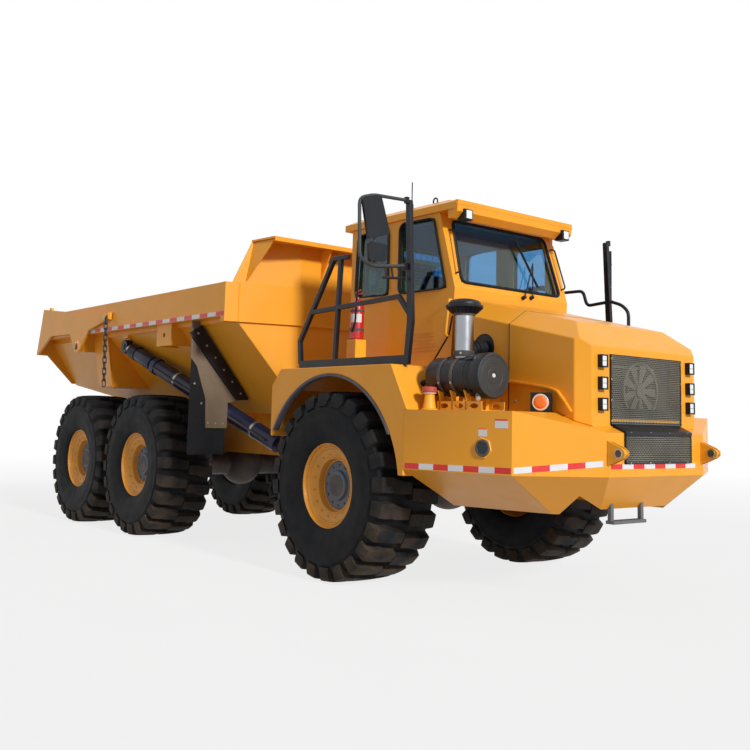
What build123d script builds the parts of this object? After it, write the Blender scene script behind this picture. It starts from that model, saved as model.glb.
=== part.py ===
from build123d import *
import os
from math import cos, radians, sin, sqrt

# An articulated dump truck with six wheels, hinged behind its front axle.
# Millimetres, +Z up, +X forward, +Y to the driver's left.
# Everything is drawn from the front axle: x = 0 there, y = 0 on the centre line,
# z = 0 on the ground. export() moves it forward, so that x = 0 is half of its length.

front_axle_x = 2650
fit_gap = 0.05
seat_gap = 0.3
moving_gap = 6

# Wheels
wheel_base = 4310
bogie_base = 1890
track = 2660
tyre_radius = 930
tyre_width = 760
lug_count = 24
lug_share = 0.62
lug_flank_share = 0.07
lug_depth = 62
crown_drop = 22
shoulder_ring_radius = 800
rim_radius = 430
rim_width = 620
flange_radius = 408
dish_radius = 330
dish_depth = 130
hub_radius = 205
hub_depth = 70
spindle_radius = 110
axle_radius = 150
diff_radius = 290
brake_radius = 235
brake_width = 120

# Front frame and its hinge to the rear unit
rail_y = 340
rail_thick = 80
rail_low = 1000
rail_high = 1330
axle_notch_half = 240
axle_notch_z = 1110
front_rail_front = 2380
front_rail_rear = -1000
hinge_x = -1300
hinge_pin_radius = 70
hinge_barrel_radius = 150
ear_thick = 80
ear_low = 780
ear_high = 1360
ear_half = 210
journal_z = 1070
journal_radius = 150
journal_front = -1640
journal_rear = -2150
bearing_radius = 235
bearing_front = -1700
bearing_rear = -2100

# Steering cylinders
steer_base_x = -130
steer_base_y = 640
steer_eye_x = -1600
steer_eye_y = 420
steer_z = 1410
steer_barrel_radius = 60
steer_rod_radius = 32
steer_barrel_length = 970
steer_rod_start = 540
steer_gland = 80
steer_eye_radius = 65
steer_eye_thick = 70
steer_pin_radius = 30

# Rear frame and bogies
rear_rail_y = 400
rear_rail_low = 1110
rear_rail_high = 1440
rear_rail_front = -2100
rear_rail_rear = -7150
tip_x = -6900
tip_z = 1560
tip_pin_radius = 60
beam_y = 640
beam_thick = 120

# Dump body
bed_front = -1860
bed_tail = -8112
tail_lean = 0.274
bed_wall = 24
floor_half = 640
floor_z = 1640
slope_half = 1480
rail_bottom_z = 2700
bed_rail_width = 180
bed_rail_half = slope_half + bed_rail_width
bed_rail_low = 2760
bed_rail_top = 3170
bed_rail_rear = -7700
foot_back = 860
ramp_start = -5500
tail_floor_z = 2060
head_top_z = 3700
head_half = 1300
lip_reach = 430
lip_rise = 150
bed_beam_y = 400
bed_beam_thick = 60
tip_lug_y = 500

# Stone guards
guard_lead = 500
guard_x = -wheel_base + tyre_radius + guard_lead
guard_thick = 24
guard_outer = bed_rail_half - 10
guard_inner = 1100
guard_low = 1110
guard_seat_low = 1820

# Tailgate
gate_pivot_x = -6360
gate_pivot_z = 2580
gate_pin_radius = 40
gate_side_gap = 12
arm_inner = bed_rail_half + gate_side_gap
arm_thick = 38
gate_thick = 30
gate_top = (-7800, 3250)
gate_low = (-8000, 2520)
gate_drop = 455
gate_edge = 60
arm_tip_x = 1060
chain_top = 2925
chain_y = arm_inner + 28
link_count = 6
link_height = 180
link_width = 64
link_bar = 24
link_thick = 22

# Both kinds of cylinder
barrel_base = 30
barrel_wall = 16

# Hoist cylinders
hoist_base = (-2050, 760, 1210)
hoist_eye = (-5100, slope_half, 2540)
hoist_barrel_radius = 105
hoist_rod_radius = 65
hoist_barrel_length = 2700
hoist_rod_start = 200
hoist_gland = 150
hoist_eye_radius = 95
hoist_eye_thick = 90
hoist_pin_radius = 38
hoist_ball_radius = 50
hoist_ball_edge = 44
hoist_side_gap = 14

# Front tank and bumper, right half in plan: (forward, sideways) from the front axle
tank_rear = 1160
tank_half = 1660
tank_corner = (2270, 1440)
nose_x = 2680
nose_half = 700
tank_top = 1680
nose_top = 1520
crease_z = 1150
belly_z = 930
pan_z = 810
bay_half = 760
bay_front = 2420
low_grille_half = 490
low_grille_z = (1260, 1500)
eye_x = 2850
eye_y = 685
eye_z = 1350
eye_hole_radius = 32
eye_plate_thick = 45

# Step under the nose
step_x = (2425, 2465)
step_y = (-390, 80)
step_z = 760

# Fenders
fender_top = 2100
fender_rear = -1020
fender_low = 1400
fender_deck_rear = -860
fender_deck_front = 960
fender_inner = 600
fender_wall = 45
skirt_step_x = 1300
steer_way_half = steer_base_y + 120
steer_way_top = steer_z + steer_barrel_radius + 90
arch_radius = 1100
flare_thick = 26
flare_width = 60

# Cab
cab_half = 850
cab_floor = 2100
cab_rear = -720
cab_front_low = 900
cab_sill_z = 2900
cab_front_sill = 950
cab_eave_z = 3690
cab_front_eave = 715
cab_wall = 60
roof_top = 3830
roof_rear = -820
roof_front = 1000
roof_half = 880
roof_edge_width = 130
roof_edge_drop = 70
glass_thick = 8
door_rear = 120
door_width = 620
door_low = 2180
door_high = 3640
door_gap = 8
door_axis_x = 104
door_axis_y = 868

# Hood
hood_rear = 990
hood_half = 870
hood_front = 2560
hood_low = 1500
hood_wall = 26
hood_shoulder = 650
hood_rear_side_z = 2650
hood_rear_top_z = 2790
hood_drop = 0.228
hood_brow_x = 2300
hood_brow_z = 2260
hood_bevel = 110
grille_half = 520
grille_z = (1730, 2190)

# Air cleaner on the right tank
cleaner_x = (1150, 1880)
cleaner_y = tank_half - 410
cleaner_z = 1990
cleaner_radius = 205
stack_x = 1500
stack_radius = 88
stack_top = 2590
cap_radius = 165

# Handrails and mirrors
rail_plane_y = tank_half - 170
rail_tube = 22
post_x = 960
post_top = 3660
rail_rear = -740
toe_height = 90


def across(points, low, high):
    """A plate drawn in X and Z that reaches from y = low to y = high."""
    return extrude(Plane.XZ.offset(-high) * make_face(Polyline(*points, close=True)), high - low)


def along(points, low, high):
    """A plate drawn in Y and Z that reaches from x = low to x = high."""
    return extrude(Plane.YZ.offset(low) * make_face(Polyline(*points, close=True)), high - low)


def upright(points, low, high):
    """A plate drawn in X and Y that reaches from z = low to z = high."""
    return extrude(Plane.XY.offset(low) * make_face(Polyline(*points, close=True)), high - low)


def block(x, y, z):
    """A box between pairs of low and high values."""
    size = [b - a for a, b in (x, y, z)]
    middle = [(a + b) / 2 for a, b in (x, y, z)]
    return Pos(*middle) * Box(*size)


def mirrored(points):
    """The points of a right half, and the same points on the left."""
    return points + [(a, -b) for a, b in reversed(points)]


def both(shape):
    """The shape and its mirror image on the other side of the truck."""
    return shape + mirror(shape, about=Plane.XZ)


def rod_between(start, end, radius):
    """A round bar from one point to another."""
    a, b = Vector(*start), Vector(*end)
    plane = Plane(origin=a, z_dir=(b - a).normalized())
    return extrude(plane * Circle(radius), (b - a).length)


def pipe(points, radius):
    """A tube frame of straight runs with mitred corners."""
    path = Polyline(*points)
    plane = Plane(origin=points[0], z_dir=(Vector(*points[1]) - Vector(*points[0])).normalized())
    return sweep(plane * Circle(radius), path, transition=Transition.RIGHT)


def polygon_at(y, radius, sides):
    """A regular polygon that faces along Y."""
    return Plane(origin=(0, y, 0), x_dir=(1, 0, 0), z_dir=(0, -1, 0)) * RegularPolygon(radius, sides)


def lug_outline(y, drop, phase):
    """One end of a row of lugs, like the outline of a wide gear."""
    pitch = 360 / lug_count
    half, flank = pitch * lug_share / 2, pitch * lug_flank_share
    # angle from the lug's middle, radius
    tooth = ((-half - flank, tyre_radius - lug_depth), (-half, tyre_radius),
             (half, tyre_radius), (half + flank, tyre_radius - lug_depth))
    points = []
    for k in range(lug_count):
        for angle, radius in tooth:
            turn = radians(k * pitch + angle + phase - 90)
            points.append(((radius - drop) * cos(turn), (radius - drop) * sin(turn)))
    plane = Plane(origin=(0, y, 0), x_dir=(1, 0, 0), z_dir=(0, -1, 0))
    return plane * make_face(Polyline(*points, close=True))


def make_tyre():
    """A tyre with two staggered rows of lugs, centred on its own axle."""
    pitch = 360 / lug_count
    half = tyre_width / 2
    rows = [loft([lug_outline(0, 0, side * pitch / 4),
                  lug_outline(side * half, crown_drop, side * pitch / 4)], ruled=True)
            for side in (-1, 1)]
    bead_half = rim_width / 2
    core = loft([polygon_at(-half, shoulder_ring_radius, lug_count),
                 polygon_at(half, shoulder_ring_radius, lug_count)], ruled=True)
    tyre = rows[0] + rows[1] + core
    for side in (-1, 1):
        scoop = loft([polygon_at(side * half, shoulder_ring_radius, lug_count),
                      polygon_at(side * bead_half, rim_radius, lug_count)], ruled=True)
        tyre -= scoop
    return tyre - loft([polygon_at(-half, rim_radius, lug_count),
                        polygon_at(half, rim_radius, lug_count)], ruled=True)


def make_rim():
    """A wheel rim whose dished side faces -Y, with its hub and its bore."""
    half = rim_width / 2
    # distance from the middle, radius
    barrel = ((-half, rim_radius), (half, rim_radius))
    rim = loft([polygon_at(y, radius, lug_count) for y, radius in barrel], ruled=True)
    rim -= loft([polygon_at(-half, flange_radius, lug_count),
                 polygon_at(-half + dish_depth, dish_radius, lug_count)], ruled=True)
    rim -= loft([polygon_at(half, flange_radius, lug_count),
                 polygon_at(half - dish_depth * 2, dish_radius, lug_count)], ruled=True)
    hub_face = -half + dish_depth - hub_depth
    rim += extrude(Plane.XZ.offset(-hub_face) * Circle(hub_radius), -dish_depth)
    bore = Plane.XZ.offset(-half) * Circle(spindle_radius + fit_gap)
    return rim - extrude(bore, rim_width - dish_depth + hub_depth / 2)


pitch_angle = 360 / lug_count
wheel_z = tyre_radius * cos(radians(pitch_angle * lug_share / 2 - pitch_angle / 4))
# name, x of its axle, side
wheels = [(name + end, x, side)
          for name, x in (("front", 0), ("mid", -wheel_base), ("rear", -wheel_base - bogie_base))
          for end, side in (("_right", -1), ("_left", 1))]


def make_axle(x, reach):
    """A driven axle: tapered arms, a round differential case, brakes and spindles."""
    spindle_end = track / 2 + rim_width / 2 - dish_depth + 20
    axle = rod_between((x, -reach, wheel_z), (x, reach, wheel_z), axle_radius)
    axle += Pos(x, 0, wheel_z) * Sphere(diff_radius)
    inner = track / 2 - tyre_width / 2
    for side in (-1, 1):
        axle += rod_between((x, side * (inner - brake_width), wheel_z),
                            (x, side * (inner + 60), wheel_z), brake_radius)
        axle += rod_between((x, side * reach, wheel_z),
                            (x, side * spindle_end, wheel_z), spindle_radius)
    return axle


def make_front_frame():
    """Two rails, cross members, cab and tank outriggers, and the hinge ears with their pin."""
    rails = both(block((front_rail_rear, front_rail_front), (rail_y - rail_thick / 2, rail_y + rail_thick / 2),
                       (rail_low, rail_high)))
    inner = rail_y - rail_thick / 2
    notch = block((-axle_notch_half, axle_notch_half), (-rail_y - rail_thick, rail_y + rail_thick),
                  (rail_low - 10, axle_notch_z))
    frame = rails - notch
    # x of each cross member, its length along x, its top
    for x, length, top in ((front_rail_rear, 60, rail_high), (-500, 120, rail_high - 40),
                           (1000, 120, rail_low + 180), (front_rail_front - 120, 120, rail_low + 180)):
        frame += block((x, x + length), (-inner, inner), (rail_low, top))
    frame += block((front_rail_rear, front_rail_rear + 60), (-rail_y, rail_y), (ear_low, ear_high))
    for low in (ear_low, ear_high - ear_thick):
        ear = block((hinge_x, front_rail_rear + 60), (-ear_half, ear_half), (low, low + ear_thick))
        ear += extrude(Plane.XY.offset(low) * Pos(hinge_x, 0) * Circle(ear_half), ear_thick)
        frame += ear
    frame += extrude(Plane.XY.offset(ear_low) * Pos(hinge_x, 0) * Circle(hinge_pin_radius),
                     ear_high - ear_low)
    outer = rail_y + rail_thick / 2
    # cab posts: x low, x high
    for low, high in ((-620, -480), (620, 760)):
        frame += both(block((low, high), (inner, rail_y + 50), (rail_high - 60, cab_floor - seat_gap)))
        frame += both(block((low, high), (inner, fender_inner - seat_gap), (steer_z + 110, cab_floor - seat_gap)))
    # tank brackets
    for low, high in ((1300, 1380), (2000, 2080)):
        frame += both(block((low, high), (outer, bay_half), (rail_low + 40, rail_high - 60)))
    # steering cylinder brackets: a web ahead of the eye and two lugs round it
    lug_z = steer_eye_thick / 2 + seat_gap
    frame += both(block((steer_base_x + steer_eye_radius + 10, steer_base_x + steer_eye_radius + 50),
                        (rail_y, steer_base_y + steer_eye_radius), (rail_high - 100, steer_z + lug_z + 40)))
    for low in (steer_z - lug_z - 40, steer_z + lug_z):
        frame += both(block((steer_base_x - 55, steer_base_x + steer_eye_radius + 10),
                            (steer_base_y - 60, steer_base_y + 60), (low, low + 40)))
    frame += both(rod_between((steer_base_x, steer_base_y, steer_z - lug_z - 10),
                              (steer_base_x, steer_base_y, steer_z + lug_z + 10), steer_pin_radius))
    return frame


def make_front_axle():
    """The front axle with its struts up to the rails."""
    axle = make_axle(0, track / 2 - tyre_width / 2)
    return axle + both(block((-90, 90), (rail_y - rail_thick / 2, rail_y + rail_thick / 2),
                             (wheel_z, axle_notch_z - seat_gap)))


def tank_plan(inset):
    """Half of the tank's outline in plan, drawn in by an inset that keeps its edges parallel."""
    slope_a = (tank_half - tank_corner[1]) / (tank_corner[0] - tank_rear)
    slope_b = (tank_corner[1] - nose_half) / (nose_x - tank_corner[0])
    start = (tank_rear, -(tank_half - inset))
    corner_x = tank_corner[0] - inset * 0.16
    corner_y = start[1] + slope_a * (corner_x - tank_rear)
    nose = nose_x - inset * 0.47
    return [start, (corner_x, corner_y), (nose, corner_y + slope_b * (nose - corner_x))]


def make_bumper():
    """The side tanks, the nose between them and the facets below, open to the engine bay."""
    def slab(low, low_inset, high, high_inset):
        faces = [Plane.XY.offset(z) * make_face(Polyline(*mirrored(tank_plan(inset)), close=True))
                 for z, inset in ((low, low_inset), (high, high_inset))]
        return loft(faces, ruled=True)

    body = slab(crease_z, 0, tank_top, 0) + slab(belly_z, 420, crease_z, 0) + slab(pan_z, 640, belly_z, 420)
    slope = across([(tank_corner[0], tank_top), (nose_x + 50, nose_top - (tank_top - nose_top) / (nose_x - tank_corner[0]) * 50), (nose_x + 50, tank_top + 50),
                    (tank_corner[0], tank_top + 50)], -tank_half, tank_half)
    body -= slope
    body -= block((tank_rear - 10, bay_front), (-bay_half, bay_half), (pan_z - 10, tank_top + 60))
    low, high = low_grille_z
    body -= block((nose_x - 120, nose_x + 20), (-low_grille_half, low_grille_half), (low, high))
    eye = across([(nose_x - 60, eye_z - 90), (nose_x, eye_z - 90), (eye_x - 28, eye_z - 34), (eye_x, eye_z),
                  (eye_x - 28, eye_z + 34), (nose_x, eye_z + 90), (nose_x - 60, eye_z + 90)],
                 eye_y - eye_plate_thick / 2, eye_y + eye_plate_thick / 2)
    eye -= rod_between((eye_x - 60, eye_y - 60, eye_z), (eye_x - 60, eye_y + 60, eye_z), eye_hole_radius)
    return body + both(eye)


def make_bumper_grille():
    low, high = low_grille_z
    frame = block((nose_x - 90, nose_x - 60), (-low_grille_half, low_grille_half), (low, high))
    return frame


def make_front_step(bumper):
    """The U-shaped step that hangs under the nose."""
    low, high = step_x
    legs = block((low, high), (step_y[0], step_y[0] + 40), (step_z, eye_z))
    legs += block((low, high), (step_y[1] - 40, step_y[1]), (step_z, eye_z))
    hanging = (legs - bumper).solids().sort_by(Axis.Z)[:2]
    return hanging[0] + hanging[1] + block((low - 20, high + 30), step_y, (step_z - 30, step_z))


def make_fender():
    """The right fender: deck, skirt and wheel arch."""
    outline = [(fender_rear, fender_low), (fender_rear, fender_top - 170), (fender_deck_rear, fender_top),
               (fender_deck_front, fender_top), (1200, tank_top), (tank_rear - seat_gap, tank_top),
               (tank_rear - seat_gap, crease_z - 60), (tank_rear - 60, crease_z - 60)]
    body = across(outline + [(0, 900)], -tank_half, -fender_inner)
    body -= block((hood_rear - 50, skirt_step_x), (-hood_half - moving_gap, -fender_inner + 10),
                  (rail_low, fender_top + 10))
    inner = [(fender_rear + fender_wall, fender_low - 10), (fender_rear + fender_wall, fender_top - 170 - fender_wall),
             (fender_deck_rear + 10, fender_top - fender_wall), (fender_deck_front - 20, fender_top - fender_wall),
             (tank_rear - fender_wall, tank_top), (tank_rear - fender_wall, crease_z)]
    body -= across(inner + [(0, 900)], -tank_half + fender_wall, -fender_inner - fender_wall)
    body -= block((tank_rear - seat_gap, skirt_step_x), (-tank_half - 10, -fender_inner),
                  (rail_low, tank_top + seat_gap))
    # the way of the steering cylinder past the rear skirt
    body -= block((fender_rear - 10, fender_rear + 400), (-steer_way_half, -fender_inner + 10),
                  (fender_low - 100, steer_way_top))
    arch = rod_between((0, -tank_half - 10, wheel_z), (0, -fender_inner + 10, wheel_z), arch_radius)
    return body - arch


def make_flare():
    """The black lip round the right arch."""
    ring = rod_between((0, -tank_half - 12, wheel_z), (0, -tank_half + flare_width, wheel_z), arch_radius - seat_gap)
    ring -= rod_between((0, -tank_half - 20, wheel_z), (0, -tank_half + flare_width + 10, wheel_z),
                        arch_radius - flare_thick)
    keep = block((-1015, 1000), (-tank_half - 30, -tank_half + 100), (1450, 2200))
    return ring & keep


def cab_profile(inset):
    """The cab's side outline, drawn in by an inset."""
    lean = (cab_front_sill - cab_front_eave) / (cab_eave_z - cab_sill_z)
    return [(cab_rear + inset, cab_floor + inset), (cab_front_low - inset, cab_floor + inset),
            (cab_front_sill - inset, cab_sill_z), (cab_front_eave - inset + lean * inset, cab_eave_z - inset),
            (cab_rear + inset, cab_eave_z - inset)]


def side_windows():
    """Outlines of the side windows: rear, then front."""
    return ([(-630, 2930), (-70, 2910), (-70, 3600), (-120, 3650), (-600, 3610)],
            [(110, 2905), (830, 2905), (640, 3640), (160, 3650), (110, 3600)])


def front_window():
    return [(-745, 2965), (745, 2965), (700, 3620), (-700, 3620)]


def rear_window():
    return [(-650, 2980), (650, 2980), (650, 3580), (-650, 3580)]


def door_opening(gap):
    return block((door_rear - gap, door_rear + door_width + gap * 1.5), (cab_half - cab_wall - 5, cab_half + 5),
                 (door_low - gap, door_high + gap))


def make_cab_shell():
    """The cab's walls and floor with windows cut, and the door's opening on the left."""
    shell = across(cab_profile(0), -cab_half, cab_half)
    shell -= across(cab_profile(cab_wall), -cab_half + cab_wall, cab_half - cab_wall)
    rear_side, front_side = side_windows()
    for outline in (rear_side, front_side):
        shell -= across(outline, -cab_half - 10, -cab_half + cab_wall + 10)
    shell -= across(rear_side, cab_half - cab_wall - 10, cab_half + 10)
    shell -= along(front_window(), 600, 1100)
    shell -= along(rear_window(), cab_rear - 10, cab_rear + cab_wall + 10)
    shell -= door_opening(door_gap)
    for z in (2400, 3350):
        knuckle = extrude(Plane.XY.offset(z) * Pos(door_axis_x, door_axis_y) * Circle(14), 60)
        shell += knuckle + block((60, door_axis_x), (cab_half, door_axis_y), (z, z + 60))
    return shell


def make_cab_roof():
    """The roof plate with its visor over the windscreen."""
    outline = [(roof_rear, cab_eave_z), (roof_front - 40, cab_eave_z), (roof_front, cab_eave_z + 40),
               (roof_front - 40, roof_top - 60), (roof_front - 260, roof_top), (roof_rear + 120, roof_top),
               (roof_rear, roof_top - 70)]
    roof = across(outline, -roof_half, roof_half)
    inner = roof_half - roof_edge_width
    edge = [(-inner, roof_top), (-roof_half, roof_top - roof_edge_drop), (-roof_half - 10, roof_top + 10),
            (-inner, roof_top + 10)]
    return roof - both(along(edge, roof_rear - 10, roof_front - 40))


def make_cab_glass():
    panes = []
    for outline in side_windows():
        panes.append(across(outline, -cab_half + 26, -cab_half + 26 + glass_thick))
    panes.append(across(side_windows()[0], cab_half - 26 - glass_thick, cab_half - 26))
    panes.append(along(rear_window(), cab_rear + 26, cab_rear + 26 + glass_thick))
    lean = (cab_front_sill - cab_front_eave) / (cab_eave_z - cab_sill_z)
    sill_x = cab_front_sill - 30
    band = across([(sill_x, cab_sill_z), (sill_x - glass_thick, cab_sill_z),
                   (sill_x - glass_thick - lean * 790, cab_sill_z + 790), (sill_x - lean * 790, cab_sill_z + 790)],
                  -cab_half, cab_half)
    panes.append(band & along(front_window(), 500, 1100))
    return panes


def make_door():
    """The left door with its window and its half of the hinges."""
    door = block((door_rear, door_rear + door_width), (cab_half - cab_wall, cab_half), (door_low, door_high))
    window = [(door_rear + 70, 2905), (door_rear + door_width - 60, 2905), (door_rear + door_width - 70, 3560),
              (door_rear + 70, 3560)]
    door -= across(window, 700, 900)
    for z in (2400, 3350):
        door += extrude(Plane.XY.offset(z + 62) * Pos(door_axis_x, door_axis_y) * Circle(14), 60)
        door += block((door_axis_x, door_rear + 60), (cab_half, door_axis_y), (z + 62, z + 122))
    pane = across(window, cab_half - 26 - glass_thick, cab_half - 26)
    return door, pane


def make_seat():
    """The driver's seat on its base, with the steering column."""
    base = block((-120, 260), (-180, 180), (cab_floor + cab_wall, cab_floor + 420))
    cushion = block((-230, 300), (-250, 250), (cab_floor + 420, cab_floor + 540))
    back = across([(-230, cab_floor + 540), (-110, cab_floor + 540), (-220, cab_floor + 1150),
                   (-320, cab_floor + 1150)], -240, 240)
    column = rod_between((640, 0, cab_floor + cab_wall + 60), (480, 0, cab_floor + 720), 40)
    dash = block((600, 800), (-600, 600), (cab_floor + cab_wall, cab_floor + 700))
    return [base + cushion + back, dash + column]


def hood_solid(inset):
    """The hood's outer form, or its hollow when drawn in by an inset."""
    half, shoulder = hood_half - inset, hood_shoulder - inset * 0.4

    def section(x):
        fall = hood_drop * (x - hood_rear) + inset
        points = [(-half, hood_low - 10), (-half, hood_rear_side_z - fall), (-shoulder, hood_rear_top_z - fall),
                  (shoulder, hood_rear_top_z - fall), (half, hood_rear_side_z - fall), (half, hood_low - 10)]
        return Plane.YZ.offset(x) * make_face(Polyline(*points, close=True))

    start, end = hood_rear - (20 if inset else 0), hood_front - inset
    body = loft([section(start), section(end)], ruled=True)
    brow_top = hood_rear_top_z - hood_drop * (hood_brow_x - hood_rear)
    slope = (brow_top - hood_brow_z) / (hood_front - hood_brow_x)
    drop = inset * sqrt(1 + slope * slope)
    cutter = [(hood_brow_x - 400, brow_top + slope * 400 - drop), (hood_front + 100, hood_brow_z - slope * 100 - drop),
              (hood_front + 100, 3400), (hood_brow_x - 400, 3400)]
    body -= across(cutter, -1000, 1000)
    bevel = hood_bevel + inset * 0.2
    for side in (-1, 1):
        body -= upright([(hood_front - bevel - inset, side * (hood_half - inset + 1)), (hood_front - inset + 1, side * (hood_half - inset + 1)),
                         (hood_front - inset + 1, side * (hood_half - bevel - inset))], 1000, 3000)
    return body


def make_hood():
    """The hood: a folded shell with the grille's opening, seated on the tank's top."""
    shell = hood_solid(0) - hood_solid(hood_wall)
    fall = (tank_top - nose_top) / (nose_x - tank_corner[0])
    seat = [(0, 1000), (0, tank_top + seat_gap), (tank_corner[0], tank_top + seat_gap),
            (nose_x + 200, tank_top + seat_gap - fall * (nose_x + 200 - tank_corner[0])), (nose_x + 200, 1000)]
    shell -= across(seat, -1000, 1000)
    low, high = grille_z
    return shell - block((hood_front - 100, hood_front + 10), (-grille_half, grille_half), (low, high))


def make_hood_grille():
    low, high = grille_z
    return block((hood_front - hood_wall - 16, hood_front - hood_wall), (-grille_half - 20, grille_half + 20), (low - 20, high + 20))


def make_headlamps():
    lamps = []
    for z in (2130, 1940, 1760):
        for side in (-1, 1):
            lamps.append(block((hood_front + seat_gap, hood_front + 38), (side * 650 - 42, side * 650 + 42), (z - 55, z + 55)))
    return lamps


def make_engine():
    """The engine as one plain block, with the radiator in front of it."""
    engine = block((1080, 2120), (-420, 420), (rail_high + seat_gap, 2180))
    radiator = block((2240, 2340), (-480, 480), (rail_high + seat_gap, 2180))
    return [engine, radiator]


def make_air_cleaner():
    """The drum on the right tank with its end cap, straps and saddle."""
    low, high = cleaner_x
    drum = rod_between((low, -cleaner_y, cleaner_z), (high, -cleaner_y, cleaner_z), cleaner_radius - 20)
    drum += rod_between((high - 190, -cleaner_y, cleaner_z), (high, -cleaner_y, cleaner_z), cleaner_radius)
    saddle = block((low + 150, high - 150), (-cleaner_y - 130, -cleaner_y + 130), (tank_top + seat_gap, cleaner_z - 100))
    return drum + saddle


def make_stack():
    """The stainless intake tube with its rain cap."""
    top_of_drum = cleaner_z + cleaner_radius - 60
    tube = rod_between((stack_x, -cleaner_y, top_of_drum), (stack_x, -cleaner_y, stack_top), stack_radius)
    tube += rod_between((stack_x, -cleaner_y, stack_top), (stack_x, -cleaner_y, stack_top + 75), cap_radius)
    tube += rod_between((stack_x, -cleaner_y, stack_top + 75), (stack_x, -cleaner_y, stack_top + 105), cap_radius - 50)
    drum = rod_between((cleaner_x[0], -cleaner_y, cleaner_z), (cleaner_x[1], -cleaner_y, cleaner_z),
                       cleaner_radius - 20 + seat_gap)
    return tube - drum


def make_extinguisher():
    """The fire extinguisher on its box on the right deck."""
    y = -rail_plane_y + 370
    box = block((-330, -180), (y - 70, y + 70), (fender_top + seat_gap, 2420))
    bottle = rod_between((-255, y, 2420), (-255, y, 2860), 80)
    neck = rod_between((-255, y, 2860), (-255, y, 2930), 30)
    return box + bottle + neck


def make_filler():
    """The capped filler post beside the air cleaner."""
    y = -tank_half + 190
    return rod_between((1290, y, tank_top + seat_gap), (1290, y, 1900), 45)


def make_markers():
    box = block((2120, 2240), (-1040, -960), (tank_top + seat_gap, tank_top + 200))
    return both(box)


def make_handrail():
    """The right handrail: flat front post, leaning bar, mid rail and toe board in one plane."""
    y = -rail_plane_y
    # the middle line of each bar, from its foot on
    bars = (((-735, 2160), (-760, 2400), (-190, 3230), (60, 3230)),
            ((-130, 2160), (-70, 3225)),
            ((-560, 2700), (860, 2750), (post_x + 70, 2560)))
    foot = fender_top + seat_gap
    face = make_face(Polyline((post_x, foot), (post_x + 60, foot), (post_x + 110, 2500), (post_x + 50, post_top),
                              (post_x - 10, post_top), (post_x + 40, 2500), close=True))
    # the toe board ends inside the post
    board_end = post_x + 25
    face += make_face(Polyline((rail_rear, foot), (board_end, foot), (board_end, foot + toe_height),
                               (rail_rear, foot + toe_height), close=True))
    for points in bars:
        face += trace(Polyline(*points), 2 * rail_tube)
    return extrude(Plane.XZ.offset(-y - rail_tube) * face, 2 * rail_tube)


def make_mirror():
    """The right mirror frame on its arm, with the main and the small mirror."""
    y = -rail_plane_y - rail_tube
    x = post_x + 20
    frame = pipe([(x, y, post_top - 40), (x, y - 40, post_top - 40), (x, y - 600, post_top - 10), (x, y - 600, 3020), (x, y - 300, 3000),
                  (x, y - 60, 3060), (x, y - 20, 3060)], 16)
    frame += rod_between((x, y, 3060), (x, y - 30, 3060), 16)
    frame += pipe([(x, y - 300, 3000), (x, y - 300, post_top - 25)], 14)
    plate = block((x - 20, x + 30), (y - 570, y - 330), (3230, 3600))
    small = block((x - 20, x + 30), (y - 540, y - 360), (3040, 3200))
    return [frame + plate + small + block((x - 10, x + 10), (y - 460, y - 440), (3010, post_top - 20))]


def make_roof_lamps():
    lamps = []
    for side in (-1, 1):
        lamps.append(block((roof_front - 90, roof_front + 20), (side * 740 - 55, side * 740 + 55), (cab_eave_z - 110, cab_eave_z - seat_gap)))
    return lamps


def make_antenna():
    return rod_between((180, -760, roof_top + 30), (180, -760, 4110), 6) + rod_between((180, -760, roof_top + seat_gap), (180, -760, roof_top + 40), 18)


def make_hitch():
    """The casting between the two frames: a barrel on the vertical pin and a journal to the rear."""
    low, high = ear_low + ear_thick + seat_gap, ear_high - ear_thick - seat_gap
    hitch = extrude(Plane.XY.offset(low) * Pos(hinge_x, 0) * Circle(hinge_barrel_radius), high - low)
    hitch += block((journal_front, hinge_x), (-hinge_barrel_radius, hinge_barrel_radius), (low, high))
    hitch += rod_between((journal_rear, 0, journal_z), (journal_front, 0, journal_z), journal_radius)
    # the arms that carry the eyes of the steering cylinders
    arm_top = steer_z - steer_barrel_radius - moving_gap
    arm_x = (steer_eye_x - 40, hinge_x - ear_half - 20)
    hitch += block(arm_x, (-hinge_barrel_radius, hinge_barrel_radius), (low, arm_top))
    hitch += block(arm_x, (-steer_eye_y - 40, steer_eye_y + 40), (arm_top - 90, arm_top))
    return hitch - extrude(Plane.XY.offset(low) * Pos(hinge_x, 0) * Circle(hinge_pin_radius + fit_gap), high - low)


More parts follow.
